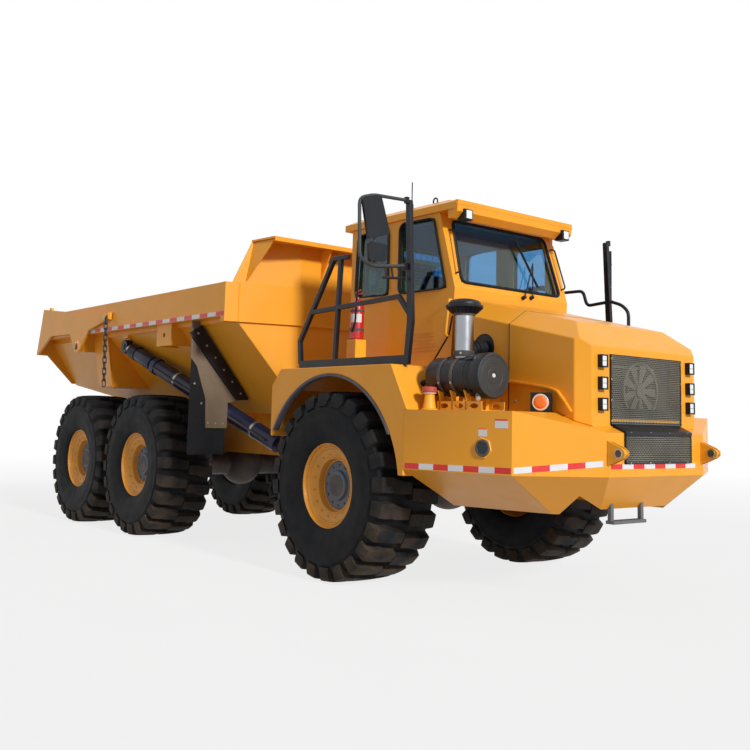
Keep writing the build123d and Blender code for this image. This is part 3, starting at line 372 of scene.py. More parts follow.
    def place(self, name, body, slot, replaces=(), bevel=0.0, segments=2, sharp=35.0):
        """Makes the piece, with rounded edges where a bevel is given."""
        bmesh.ops.recalc_face_normals(self.mesh, faces=self.mesh.faces)
        made = piece_of(name, self.mesh, self.materials)
        if bevel:
            round_edges(made, bevel, segments)
        else:
            made.data.set_sharp_from_angle(angle=radians(sharp))
        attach(made, body)
        if replaces:
            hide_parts(*replaces)
        return made


def round_edges(made, width, segments):
    """A bevel on the sharp edges, shaded as a rounded edge."""
    bevel = made.modifiers.new("edges", "BEVEL")
    bevel.width = width
    bevel.segments = segments
    bevel.limit_method = "ANGLE"
    bevel.angle_limit = radians(32.0)
    bevel.harden_normals = True


def turned_corner(before, corner, after, radius, steps):
    """The points that take a line round a corner."""
    a, b = before - corner, after - corner
    cut = min(radius, a.length * 0.45, b.length * 0.45)
    start, end = corner + a.normalized() * cut, corner + b.normalized() * cut
    shares = [k / steps for k in range(steps + 1)]
    return [start * (1 - t) ** 2 + corner * (2 * t * (1 - t)) + end * t ** 2 for t in shares]


def rounded(points, radius, steps=5):
    """The points of a line whose inner corners are turned with a radius."""
    points = [Vector(p) for p in points]
    made = [points[0]]
    for before, corner, after in zip(points, points[1:], points[2:]):
        made += turned_corner(before, corner, after, radius, steps)
    return made + [points[-1]]


def rounded_outline(corners, radius, steps=4):
    """A closed flat outline whose corners are turned with a radius."""
    n, made = len(corners), []
    for k in range(n):
        before, corner, after = (Vector((*corners[(k + j) % n], 0)) for j in (-1, 0, 1))
        made += [(p.x, p.y) for p in turned_corner(before, corner, after, radius, steps)]
    return made


# Carried-over solids

def dress(node, material, width=0.0):
    """Gives a CAD node its material, and rounded edges where a width is given."""
    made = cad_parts[node]
    made.data.materials.clear()
    made.data.materials.append(material)
    if width:
        weld = made.modifiers.new("weld", "WELD")
        weld.merge_threshold = 0.0002
        flat = made.modifiers.new("flat", "DECIMATE")
        flat.decimate_type = "DISSOLVE"
        flat.angle_limit = radians(1.0)
        round_edges(made, width, 2)


# node, material, width of its rounded edges, for the nodes that no piece replaces
dressings = (
    ("front_frame", chassis, 0.006), ("rear_frame", chassis, 0.006), ("hitch", chassis, 0.008),
    ("front_axle", iron, 0), ("mid_axle", iron, 0), ("rear_axle", iron, 0), ("bogie_beams", chassis, 0.008),
    ("engine_block", iron, 0.01), ("radiator", iron, 0.004), ("bumper", paint, 0.010),
    ("fender_right", paint, 0.008), ("fender_left", paint, 0.008), ("hood", paint, 0.012),
    ("cab_shell", paint, 0.008), ("cab_roof", paint, 0.012), ("cab_door", paint, 0.006),
    ("tailgate", paint, 0.006), ("arch_flares", flare_black, 0.004), ("headlamps", plastic, 0.003),
    ("roof_lamps", plastic, 0.004), ("front_step", step_grey, 0.004),
    ("handrail_right", black_paint, 0.004), ("handrail_left", black_paint, 0.004), ("antenna", plastic, 0),
    ("door_glass", glass_side, 0),
)
for node, material, width in dressings:
    dress(node, material, width)
for end, side in ends:
    dress(f"hoist_barrel_{end}", navy)
    dress(f"hoist_rod_{end}", chrome)
    dress(f"steering_barrel_{end}", black_paint)
    dress(f"steering_rod_{end}", chrome)


# Wheels

lug_count = 24


def tyre_form(tyre, x, side):
    """A tyre about its axle: a turned carcass and two staggered rows of deep lugs."""
    centre = (x, side * wheel_y, wheel_z)
    # distance from the middle, radius
    half = [(0.290, 0.405), (0.318, 0.418), (0.338, 0.440), (0.352, 0.500), (0.374, 0.590), (0.380, 0.660),
            (0.372, 0.735), (0.374, 0.742), (0.366, 0.752), (0.352, 0.800), (0.338, 0.836), (0.300, 0.852),
            (0.150, 0.862), (0.0, 0.864)]
    profile = [(-a, r) for a, r in half] + [(a, r) for a, r in reversed(half[:-1])]
    profile += [(0.290, 0.400), (-0.290, 0.400), profile[0]]
    tyre.turned(profile, centre, (0, 1, 0), steps=96)
    # along the lug from shoulder to middle: distance from the middle, shift round the tyre in pitches,
    # half width in pitches, top radius, bottom radius
    stations = ((0.372, 0.02, 0.24, 0.800, 0.780), (0.366, 0.02, 0.26, 0.868, 0.780),
                (0.348, 0.01, 0.28, 0.908, 0.820), (0.290, 0.0, 0.29, 0.920, 0.840),
                (0.215, 0.0, 0.29, 0.925, 0.845), (0.165, -0.06, 0.27, 0.927, 0.848),
                (0.110, -0.10, 0.24, 0.929, 0.850), (0.050, -0.12, 0.23, 0.930, 0.850),
                (0.006, -0.13, 0.22, 0.930, 0.850))
    columns = ((-1.28, False), (-1.0, True), (-0.35, True), (0.35, True), (1.0, True), (1.28, False))
    pitch = 2 * pi / lug_count
    tyre.use(tread)
    for row in (-1, 1):
        for k in range(lug_count):
            middle = (k + row * 0.25) * pitch
            points = []
            for away, shift, half_width, top, bottom in stations:
                for place, raised in columns:
                    turn = middle + (row * shift + place * half_width) * pitch
                    radius = top if raised else bottom
                    points.append((x + radius * sin(turn), side * wheel_y + row * away,
                                   wheel_z + radius * cos(turn)))
            n, m = len(columns), len(stations)
            faces = [(a * n + b, a * n + b + 1, (a + 1) * n + b + 1, (a + 1) * n + b)
                     for a in range(m - 1) for b in range(n - 1)]
            faces += [tuple(range(n)), tuple(range((m - 1) * n, m * n)),
                      tuple(a * n for a in range(m)) + tuple(a * n + n - 1 for a in range(m - 1, -1, -1))]
            tyre.add(points, faces)
    return tyre


def rim_form(rim, x, side):
    """A dished rim with its lock ring, its inner ring and the hub plate deep inside."""
    face = side * (wheel_y + 0.31)
    # depth behind the outer face, radius
    outer = ((0.030, 0.4295), (0.004, 0.428), (0.0, 0.420), (0.0, 0.408), (0.012, 0.398), (0.030, 0.394),
             (0.036, 0.384), (0.030, 0.374), (0.036, 0.362), (0.052, 0.352), (0.056, 0.330), (0.086, 0.290),
             (0.092, 0.276), (0.086, 0.270), (0.088, 0.262), (0.100, 0.257), (0.150, 0.254), (0.152, 0.240))
    rim.turned(outer, (x, face, wheel_z), (0, -side, 0), steps=72)
    rim.turned([(0.60, 0.428), (0.615, 0.420), (0.60, 0.40), (0.50, 0.36), (0.32, 0.33), (0.30, 0.235)],
               (x, face, wheel_z), (0, -side, 0), steps=48)
    rim.turned([(0.0, 0.4285), (0.62, 0.4285)], (x, face, wheel_z), (0, -side, 0), steps=48)
    for k in range(16):
        turn = 2 * pi * (k + 0.5) / 16
        rim.bolt((x + 0.312 * cos(turn), face - side * 0.070, wheel_z + 0.312 * sin(turn)),
                 (0, side, 0), 0.009)
    rim.use(hub_grey)
    rim.turned([(0.152, 0.256), (0.152, 0.236), (0.144, 0.230), (0.144, 0.150), (0.120, 0.140),
                (0.112, 0.120), (0.112, 0.0)], (x, face, wheel_z), (0, -side, 0), steps=48)
    for k in range(12):
        turn = 2 * pi * k / 12
        rim.bolt((x + 0.196 * cos(turn), face - side * 0.144, wheel_z + 0.196 * sin(turn)),
                 (0, side, 0), 0.012)
    return rim


for name, x in wheel_xs.items():
    for end, side in ends:
        body = f"wheel_{name}_{end}"
        tyre_form(Form(sidewall), x, side).place(f"tyre_{name}_{end}_dressed", body, "tyre",
                                                 (f"tyre_{name}_{end}",), bevel=0.005, segments=1)
        rim_form(Form(rim_paint), x, side).place(f"rim_{name}_{end}_dressed", body, "rim_paint",
                                                 (f"rim_{name}_{end}",), sharp=28)


# Front: tape, screens, lamps and labels

deck = 1.6805  # just above the side tanks


def tape(made, start, end, height, count, first_red):
    """Red and white lengths of tape along a line whose outer side is on its right, seen from above."""
    start, end = Vector(start), Vector(end)
    out = (end - start).cross(Vector((0, 0, 1))).normalized() * 0.0012
    up = Vector((0, 0, height))
    for k in range(count):
        made.use(tape_red if (k % 2 == 0) == first_red else tape_white)
        a, b = start.lerp(end, k / count) + out, start.lerp(end, (k + 1) / count) + out
        made.plate([a, b, b + up, a + up], 0.0016)


def side_y(x):
    """The outer face of the right tank, and of the facet ahead of it."""
    return -1.66 + (x - 1.16) * 0.22 / 1.11 if x <= 2.27 else -1.44 + (x - 2.27) * 0.74 / 0.41


tapes = Form(tape_red)
tape(tapes, (1.18, side_y(1.18), 1.158), (2.262, side_y(2.262), 1.163), 0.050, 7, True)
tape(tapes, (2.278, side_y(2.278), 1.166), (2.655, side_y(2.655), 1.236), 0.050, 5, False)
tapes.mirrored()
tape(tapes, (2.68, -0.672, 1.216), (2.68, 0.567, 1.216), 0.042, 8, True)
tapes.place("front_tape", "front", "red_paint")

tank_out = Vector((0.194, -0.981, 0)).normalized()
labels = Form(label_white)
for x, z, wide, high, top in ((2.108, 1.535, 0.124, 0.076, tape_red), (1.945, 1.464, 0.086, 0.070, amber)):
    corners = [Vector((x + a, side_y(x + a), z + b)) + tank_out * 0.0012
               for a, b in ((0, 0), (wide, 0), (wide, high), (0, high))]
    labels.use(label_white).plate(corners, 0.0016)
    band = [c + tank_out * 0.0006 for c in corners]
    low = [band[0].lerp(band[3], 0.82), band[1].lerp(band[2], 0.82)]
    labels.use(top).plate([low[0], low[1], band[2], band[3]], 0.0010)
labels.place("blank_labels", "front", "rubber")

gauge_at = Vector((1.994, side_y(1.994), 1.367))
gauge = Form(handle_yellow)
gauge.turned([(-0.002, 0.090), (0.006, 0.090), (0.010, 0.086), (0.010, 0.064), (0.004, 0.060)],
             gauge_at, tank_out, 6)
gauge.use(iron).turned([(0.004, 0.076), (0.012, 0.074), (0.018, 0.068), (0.018, 0.056), (0.0, 0.052)],
                       gauge_at, tank_out, 32)
gauge.use(plastic).turned([(0.003, 0.0), (0.003, 0.054)], gauge_at, tank_out, 32)
gauge.use(glass_side).turned([(0.010, 0.0), (0.010, 0.054), (0.006, 0.056)], gauge_at, tank_out, 32)
gauge.place("tank_gauge", "front", "steel")


def screen(made, x, y, z):
    """A punched screen: level bars with short upright bars between them, shifted row by row."""
    pitch_y, pitch_z, wire = 0.0235, 0.0168, 0.0045
    rows, columns = round((z[1] - z[0]) / pitch_z), round((y[1] - y[0]) / pitch_y)
    step_z, step_y = (z[1] - z[0]) / rows, (y[1] - y[0]) / columns
    for row in range(rows + 1):
        level = z[0] + row * step_z
        made.box((x, x + wire), y, (level - wire * 0.5, level + wire * 0.5))
    for row in range(rows):
        for k in range(columns + row % 2):
            middle = y[0] + (k + (0 if row % 2 else 0.5)) * step_y
            across = (max(y[0], middle - wire * 0.45), min(y[1], middle + wire * 0.45))
            made.box((x + 0.0004, x + wire - 0.0004), across,
                     (z[0] + row * step_z, z[0] + (row + 1) * step_z))


hood_face = 2.56
grille = Form(screen_wire)
screen(grille, hood_face + 0.006, (-0.512, 0.512), (1.600, 2.185))
grille.use(black_paint)
grille.box((hood_face + 0.0004, hood_face + 0.003), (-0.515, 0.515), (1.574, 1.736))
for y in (-0.524, 0.516):
    grille.box((hood_face - 0.004, hood_face + 0.014), (y, y + 0.008), (1.590, 2.196))
for z in (1.590, 2.188):
    grille.box((hood_face - 0.004, hood_face + 0.014), (-0.524, 0.524), (z, z + 0.008))
grille.prism([(hood_face + 0.001, 1.592), (hood_face + 0.016, 1.592), (2.702, 1.534), (2.702, 1.508),
              (2.683, 1.508), (2.683, 1.5195), (hood_face + 0.001, 1.5685)], "y", -0.49, 0.49)
grille.use(handle_yellow)
grille.box((hood_face + 0.003, hood_face + 0.0055), (-0.50, 0.50), (1.618, 1.640))
grille.use(zinc)
for y in (-0.518, 0.518):
    for z in (1.62, 1.80, 1.98, 2.16):
        grille.bolt((hood_face + 0.014, y, z), (1, 0, 0), 0.006)
grille.place("front_screen", "hood", "black_paint", ("hood_grille",), bevel=0, sharp=30)

cooler = Form(iron)
cooler.box((2.395, 2.400), (-0.60, 0.60), (1.56, 2.22))
cooler.use(core_grey)
for k in range(36):
    y = -0.36 + k * 0.0185
    cooler.box((2.401, 2.428), (y, y + 0.0045), (1.70, 2.10))
for z in (1.694, 2.10):
    cooler.box((2.398, 2.432), (-0.37, 0.30), (z, z + 0.014))
cooler.use(plastic).box((2.430, 2.445), (-0.33, -0.12), (1.80, 1.97))
cooler.use(core_grey)
for k in range(9):
    turn = 2 * pi * k / 9
    a, b = Vector((0, cos(turn), sin(turn))), Vector((0, -sin(turn), cos(turn)))
    hub = Vector((2.452, 0.05, 1.90))
    cooler.plate([hub + a * 0.06 - b * 0.02, hub + a * 0.235 - b * 0.055 + Vector((0.01, 0, 0)),
                  hub + a * 0.235 + b * 0.025, hub + a * 0.06 + b * 0.02], 0.003)
fan_at = (2.44, 0.05, 1.90)
cooler.turned([(0.0, 0.24), (0.0, 0.262), (0.03, 0.262), (0.03, 0.24), (0.0, 0.24)], fan_at, (1, 0, 0), 48)
cooler.turned([(0.0, 0.0), (0.0, 0.07), (0.03, 0.06), (0.03, 0.0)], fan_at, (1, 0, 0), 32)
cooler.place("cooler_and_fan", "front", "iron", bevel=0, sharp=30)

low_screen = Form(screen_wire)
screen(low_screen, 2.690, (-0.478, 0.478), (1.272, 1.502))
low_screen.use(black_paint).box((2.612, 2.618), (-0.488, 0.488), (1.262, 1.498))
for y in (-0.490, 0.478):
    low_screen.box((2.668, 2.698), (y, y + 0.012), (1.262, 1.510))
for z in (1.262, 1.500):
    low_screen.box((2.668, 2.698), (-0.490, 0.490), (z, z + 0.010))
low_screen.use(zinc)
for y in (-0.42, -0.14, 0.14, 0.42):
    low_screen.bolt((2.698, y, 1.267), (1, 0, 0), 0.006)
    low_screen.bolt((2.700, y, 1.527), (0.35, 0, 1), 0.006)
low_screen.place("lower_screen", "front", "black_paint", ("bumper_grille",), bevel=0, sharp=30)

lamp_face = 2.5603 + 0.038
lenses = Form(lens_white)
lamps = [(y, z) for z in (2.130, 1.940, 1.760) for y in (-0.650, 0.650)]
for y, z in lamps:
    for middle in (z - 0.0225, z + 0.0225):
        lenses.box((lamp_face - 0.002, lamp_face + 0.004), (y - 0.031, y + 0.031),
                   (middle - 0.021, middle + 0.021))
lenses.use(plastic)
rim_x = (lamp_face - 0.002, lamp_face + 0.012)
for y, z in lamps:
    for a, b in ((-0.042, -0.034), (0.034, 0.042)):
        lenses.box(rim_x, (y + a, y + b), (z - 0.055, z + 0.055))
    for a, b in ((-0.055, -0.047), (0.047, 0.055)):
        lenses.box(rim_x, (y - 0.042, y + 0.042), (z + a, z + b))
lenses.place("headlamp_lenses", "hood", "lamp", bevel=0.002, segments=2)

marker = Form(plastic)
for side in (-1, 1):
    centre, out = Vector((2.185, side * 0.985, 1.765)), Vector((0.5, side * 0.866, 0))
    along = Vector((0.866, -side * 0.5, 0))
    corners = ((-0.088, -0.045), (0.088, -0.045), (0.088, 0.030), (-0.088, 0.030))
    outline = [centre + along * a + out * b for a, b in corners]
    marker.use(plastic).prism([(p.x, p.y) for p in outline], "z", deck, 1.850)
    face = centre + out * 0.030
    marker.use(lens_ring).turned([(-0.002, 0.074), (0.010, 0.072), (0.014, 0.066), (0.012, 0.058)],
                                 face, out, 40)
    marker.use(amber).turned([(0.010, 0.060), (0.018, 0.050), (0.022, 0.030), (0.023, 0.0)], face, out, 40)
marker.place("side_markers_dressed", "front", "lamp", ("side_markers",), bevel=0.004, sharp=30)


# On the right tank: air cleaner, intake stack and filler

cleaner_at = Vector((1.15, -1.25, 1.99))
cleaner = Form(black_paint)
cleaner.turned([(0.0, 0.0), (0.0, 0.120), (0.004, 0.150), (0.020, 0.170), (0.045, 0.178), (0.300, 0.179),
                (0.505, 0.179), (0.508, 0.186), (0.520, 0.188), (0.524, 0.184), (0.540, 0.184),
                (0.542, 0.193)], cleaner_at, (1, 0, 0), 72)
cleaner.use(plastic).turned([(0.542, 0.193), (0.548, 0.200), (0.580, 0.203), (0.600, 0.198), (0.610, 0.203),
                             (0.700, 0.205), (0.716, 0.203), (0.724, 0.196)], cleaner_at, (1, 0, 0), 72)
cap_rings = [(0.724, 0.196), (0.730, 0.190), (0.730, 0.176), (0.7255, 0.173),
             (0.7255, 0.150), (0.7275, 0.147)]
cap_rings += [(0.7275, 0.110), (0.7255, 0.107), (0.7255, 0.072), (0.7290, 0.068), (0.7290, 0.034),
              (0.724, 0.030), (0.724, 0.020)]
cleaner.use(cap_grey).turned(cap_rings, cleaner_at, (1, 0, 0), 72)
cleaner.use(label_white).turned([(0.724, 0.020), (0.730, 0.017), (0.731, 0.0)], cleaner_at, (1, 0, 0), 24)
cleaner.use(black_paint)
for k in range(4):
    turn = radians(45 + 90 * k)
    out = Vector((0, cos(turn), sin(turn)))
    across = Vector((0, -sin(turn), cos(turn)))
    cleaner.plate([cleaner_at + Vector((x, 0, 0)) + across * wide + out * away for x, wide, away in (
        (0.51, -0.014, 0.198), (0.60, -0.014, 0.208), (0.60, 0.014, 0.208), (0.51, 0.014, 0.198))], 0.006)
for start in (0.185, 0.345):
    cleaner.use(iron).turned([(0, 0.1785), (0, 0.184), (0.004, 0.186), (0.032, 0.186), (0.036, 0.184),
                              (0.036, 0.1785)], cleaner_at + Vector((start, 0, 0)), (1, 0, 0), 72)
    for turn in (radians(200), radians(340)):
        out = Vector((0, cos(turn), sin(turn)))
        cleaner.use(zinc).bolt(cleaner_at + Vector((start + 0.018, 0, 0)) + out * 0.186, out, 0.009)
# the duct from the drum's rear top into the hood, in ribbed rubber
duct_line = rounded([(1.30, -1.22, 2.05), (1.32, -1.10, 2.20), (1.37, -0.96, 2.27), (1.38, -0.874, 2.28)],
                    0.10, 6)
cleaner.use(rubber).tube(duct_line, 0.070, 24)
for k in range(3, len(duct_line) - 3, 2):
    cleaner.tube([duct_line[k], duct_line[k + 1]], 0.078, 24)
# outlet spigot and the hose to the tank behind
cleaner.use(zinc).tube(rounded([(1.800, -1.36, 1.835), (1.815, -1.39, 1.80), (1.860, -1.42, 1.785)], 0.02),
                       0.020, 16)
cleaner.use(rubber).tube(rounded([(1.17, -1.33, 1.95), (1.05, -1.36, 1.94), (1.03, -1.34, 1.80),
                                  (1.12, -1.33, 1.70)], 0.08, 8), 0.024, 16)
cleaner.place("air_cleaner_dressed", "front", "black_paint", ("air_cleaner",), sharp=28)


def holed(made, centre, along, up, half, hole, thick):
    """A flat plate with an oval hole, given by its middle, its two directions and its half sizes."""
    centre, along, up = Vector(centre), Vector(along), Vector(up)
    normal = along.cross(up).normalized() * thick
    (a, b), steps = half, 8
    rim = [(a, -b + 2 * b * k / steps) for k in range(steps)]
    rim += [(a - 2 * a * k / steps, b) for k in range(steps)]
    rim += [(-p, -q) for p, q in rim]
    points = []
    for shift in (Vector((0, 0, 0)), -normal):
        for p, q in rim:
            turn = atan2(q / b, p / a)
            points.append(centre + along * p + up * q + shift)
            points.append(centre + along * (hole[0] * cos(turn)) + up * (hole[1] * sin(turn)) + shift)
    n = len(rim)
    faces = []
    for k in range(n):
        j = (k + 1) % n
        front = (2 * k, 2 * j, 2 * j + 1, 2 * k + 1)
        back = tuple(2 * n + i for i in reversed(front))
        faces += [front, back, (2 * k, 2 * n + 2 * k, 2 * n + 2 * j, 2 * j),
                  (2 * k + 1, 2 * j + 1, 2 * n + 2 * j + 1, 2 * n + 2 * k + 1)]
    made.add(points, faces)


saddle = Form(handle_yellow)
for y in (-1.395, -1.115):
    for k in range(3):
        holed(saddle, (1.40 + 0.19 * k, y, 1.722), (1, 0, 0), (0, 0, 1), (0.095, 0.0415),
              (0.052, 0.022), 0.008)
for x in (1.345, 1.505, 1.680):
    for sign in (-1, 1):
        y = -1.25 + sign * 0.1
        saddle.prism([(y, deck), (y + sign * 0.045, deck), (y + sign * 0.045, 1.79), (y + sign * 0.075, 1.86),
                      (y, 1.842)], "x", x - 0.006, x + 0.006)
saddle.box((1.30, 1.88), (-1.403, -1.107), (deck, 1.688))
saddle.use(zinc)
for x in (1.31, 1.59, 1.87):
    for y in (-1.385, -1.125):
        saddle.bolt((x, y, 1.688), (0, 0, 1), 0.010)
saddle.place("cleaner_saddle", "front", "body_paint", bevel=0.0015, segments=1)

stack_at, up = Vector((1.50, -1.25, 2.155)), (0, 0, 1)
stack = Form(steel)
stack.turned([(0.0, 0.086), (0.385, 0.086), (0.388, 0.089), (0.400, 0.089)], stack_at, up, 64)
stack.use(iron).turned([(0.012, 0.0862), (0.012, 0.094), (0.020, 0.097), (0.060, 0.097), (0.066, 0.0865)],
                       stack_at, up, 64)
stack.use(zinc).bolt(stack_at + Vector((0.05, -0.09, 0.04)), (0.5, -0.86, 0), 0.008)
stack.use(iron).turned([(0.385, 0.0865), (0.388, 0.100), (0.402, 0.102), (0.410, 0.096)], stack_at, up, 64)
hat = [(0.400, 0.088), (0.404, 0.112), (0.425, 0.128), (0.452, 0.160), (0.458, 0.170), (0.474, 0.172),
       (0.482, 0.168), (0.486, 0.150), (0.502, 0.148), (0.522, 0.130), (0.534, 0.092),
       (0.541, 0.045), (0.5425, 0.0)]
stack.use(plastic).turned(hat, stack_at, up, 64)
for k in range(20):
    turn = 2 * pi * k / 20
    out, across = Vector((cos(turn), sin(turn), 0)), Vector((-sin(turn), cos(turn), 0))
    low, high = stack_at + Vector((0, 0, 0.408)) + out * 0.114, stack_at + Vector((0, 0, 0.455)) + out * 0.166
    stack.plate([low - across * 0.003, low + across * 0.003, high + across * 0.003, high - across * 0.003],
                -0.004)
stack.place("intake_stack_dressed", "front", "steel", ("intake_stack",), sharp=30)

filler_at = (1.29, -1.47, deck)
filler = Form(handle_yellow)
filler.turned([(0.0, 0.0), (0.0, 0.075), (0.010, 0.078), (0.018, 0.060), (0.120, 0.045), (0.150, 0.045)],
              filler_at, up, 40)
filler.use(lens_ring).turned([(0.148, 0.046), (0.148, 0.060), (0.156, 0.062), (0.160, 0.050)], filler_at,
                             up, 40)
filler.use(cap_red).turned([(0.160, 0.050), (0.162, 0.066), (0.170, 0.068), (0.200, 0.066), (0.208, 0.060),
                            (0.212, 0.040), (0.214, 0.0)], filler_at, up, 12)
# the extinguisher in its clamp, on its box
middle = Vector((-0.255, -1.12, 2.42))
filler.use(red).turned([(0.002, 0.0), (0.002, 0.066), (0.012, 0.074), (0.350, 0.074), (0.390, 0.066),
                        (0.420, 0.042), (0.436, 0.024), (0.450, 0.022), (0.450, 0.0)], middle, up, 48)
filler.use(plastic).turned([(0.450, 0.026), (0.480, 0.026), (0.486, 0.016), (0.486, 0.0)], middle, up, 24)
for z in (0.090, 0.290):
    filler.use(iron).turned([(z, 0.0742), (z, 0.0765), (z + 0.028, 0.0765), (z + 0.028, 0.0742)], middle,
                            up, 48)
filler.use(red).prism([(-0.30, 2.885), (-0.18, 2.905), (-0.18, 2.917), (-0.30, 2.900)], "y", -1.130, -1.110)
filler.use(red).prism([(-0.29, 2.915), (-0.19, 2.945), (-0.20, 2.955), (-0.30, 2.926)], "y", -1.128, -1.112)
hose = rounded([(-0.24, -1.14, 2.89), (-0.17, -1.19, 2.93), (-0.155, -1.215, 2.78), (-0.175, -1.205, 2.60),
                (-0.235, -1.20, 2.50)], 0.05, 6)
filler.use(rubber).tube(hose, 0.010, 10)
filler.use(label_white).turned([(0.180, 0.0743), (0.180, 0.0748), (0.270, 0.0748), (0.270, 0.0743)], middle,
                               up, 48, share=0.28, start=0.60)
filler.use(handle_yellow).box((-0.330, -0.180), (-1.190, -1.050), (2.1005, 2.4195))
filler.use(chassis).box((-0.322, -0.188), (-1.1912, -1.1895), (2.115, 2.405))
filler.place("filler_and_extinguisher", "front", "red_paint", ("fillers",), bevel=0, sharp=32)


# Front body: tow eyes, ledge and seams

nose = Form(handle_yellow)
for side in (-1, 1):
    y = side * 0.685
    eye = [(2.675, 1.245), (2.815, 1.305), (2.852, 1.335), (2.852, 1.368), (2.815, 1.40), (2.675, 1.455)]
    for shift in (-0.031, 0.023):
        nose.use(handle_yellow).prism(eye, "y", y + shift, y + shift + 0.008)
    nose.use(iron).rod((2.79, y - 0.036, 1.35), (2.79, y + 0.036, 1.35), 0.030, 24, 0.003)
    nose.use(zinc).turned([(0, 0.031), (0, 0.042), (0.006, 0.042), (0.006, 0.031)],
                          (2.79, y - 0.032, 1.35), (0, -1, 0), 32)
nose.place("tow_eye_cheeks", "front", "body_paint", bevel=0.002, segments=1)

trim = Form(rubber)
hood_side, seam_x = 0.8705, 1.70
for side in (-1, 1):
    # the seam up the side and across the top
    for (y0, z0), (y1, z1) in (((0.8712, 1.70), (0.8712, 2.484)), ((0.8712, 2.484), (0.652, 2.624))):
        trim.tube([(seam_x, side * y0, z0), (seam_x, side * y1, z1)], 0.0045, 8)
trim.tube([(seam_x, -0.652, 2.6255), (seam_x, 0.652, 2.6255)], 0.0045, 8)
# the way in for the air cleaner's duct
trim.use(plastic).turned([(0.0, 0.134), (0.004, 0.133), (0.005, 0.126), (0.0015, 0.122), (0.001, 0.0)],
                         (1.38, -hood_side, 2.28), (0, -1, 0), 48)
trim.use(zinc)
for side in (-1, 1):
    for x in (1.10, 1.62, 1.78, 2.20):
        trim.bolt((x, side * hood_side, 1.78), (0, side, 0), 0.012)
trim.place("hood_trim", "hood", "rubber", sharp=35)

ledge = Form(paint)
for side in (-1, 1):
    line = [(1.30, 1.985), (1.781, 1.952), (2.031, 1.921), (2.192, 1.893), (2.281, 1.866),
            (2.369, 1.771), (2.434, 1.687)]
    for (x0, z0), (x1, z1) in zip(line, line[1:]):
        ledge.tube([(x0, side * 0.888, z0), (x1, side * 0.888, z1)], 0.018, flat=0.010)
ledge.place("hood_ledge", "hood", "body_paint", bevel=0.003, segments=1)

# Cab: seals, wipers, lamps, handles, louvers

cab_side = 0.852
roof_top = 3.8302
seals = Form(rubber)
rear_side = [(-0.63, 2.93), (-0.07, 2.91), (-0.07, 3.60), (-0.12, 3.65), (-0.60, 3.61)]
front_side = [(0.11, 2.905), (0.83, 2.905), (0.64, 3.64), (0.16, 3.65), (0.11, 3.60)]
for outline in (rear_side, front_side):
    seals.tube([(x, -cab_side, z) for x, z in rounded_outline(outline, 0.07)], 0.020, closed=True, flat=0.008)
seals.tube([(x, cab_side, z) for x, z in rounded_outline(rear_side, 0.07)], 0.020, closed=True, flat=0.008)


def screen_x(z):
    """The windscreen's plane."""
    return 0.95 - (z - 2.90) * 0.235 / 0.79


wide = ((-0.745, 2.965), (0.745, 2.965), (0.70, 3.62), (-0.70, 3.62))
seals.tube([(screen_x(z) + 0.004, y, z) for y, z in rounded_outline(wide, 0.07)], 0.016, 10, closed=True)
rear_edge = rounded_outline([(-0.65, 2.98), (0.65, 2.98), (0.65, 3.58), (-0.65, 3.58)], 0.07)
seals.tube([(-0.722, y, z) for y, z in rear_edge], 0.014, 10, closed=True)
# the wipers and the two lamps over the windscreen
seals.use(plastic)
for foot, tip in (((0.130, 2.888), (0.387, 3.297)), ((0.256, 2.900), (0.387, 3.297))):
    seals.tube([(screen_x(z) + 0.030, y, z) for y, z in (foot, tip)], 0.007, 8)
    seals.turned([(0, 0.0), (0, 0.022), (0.04, 0.018), (0.044, 0.0)],
                 (screen_x(foot[1]) + 0.002, foot[0], foot[1]), (1, 0, 0.3), 20)
blade = ((0.199, 3.528), (0.294, 3.278), (0.389, 3.028))
seals.use(rubber).tube([(screen_x(z) + 0.022, y, z) for y, z in blade], 0.013, 8)
for y in (-0.74, 0.74):
    seals.use(plastic).box((1.0202, 1.026), (y - 0.052, y + 0.052), (3.584, 3.686))
    seals.use(lens_white).box((1.0262, 1.030), (y - 0.038, y + 0.038), (3.594, 3.676))
# louvers low on the cab's sides, and the panel seam ahead of them
for side in (-1, 1):
    for k in range(6):
        z, shift = 2.285 + 0.036 * k, 0.010 * k
        seals.use(chassis).prism([(0.22, z), (0.70 - shift, z), (0.70 - shift, z + 0.006),
                                  (0.22, z + 0.006)], "y", *span(side, 0.850, 0.8555))
for side in (-1, 1):
    seam = [(0.925, 2.62), (0.878, 2.433), (0.66, 2.18)]
    seals.use(rubber).tube([(x, side * 0.8525, z) for x, z in seam], 0.008, 10)
seals.place("cab_seals", "front", "rubber", sharp=35)

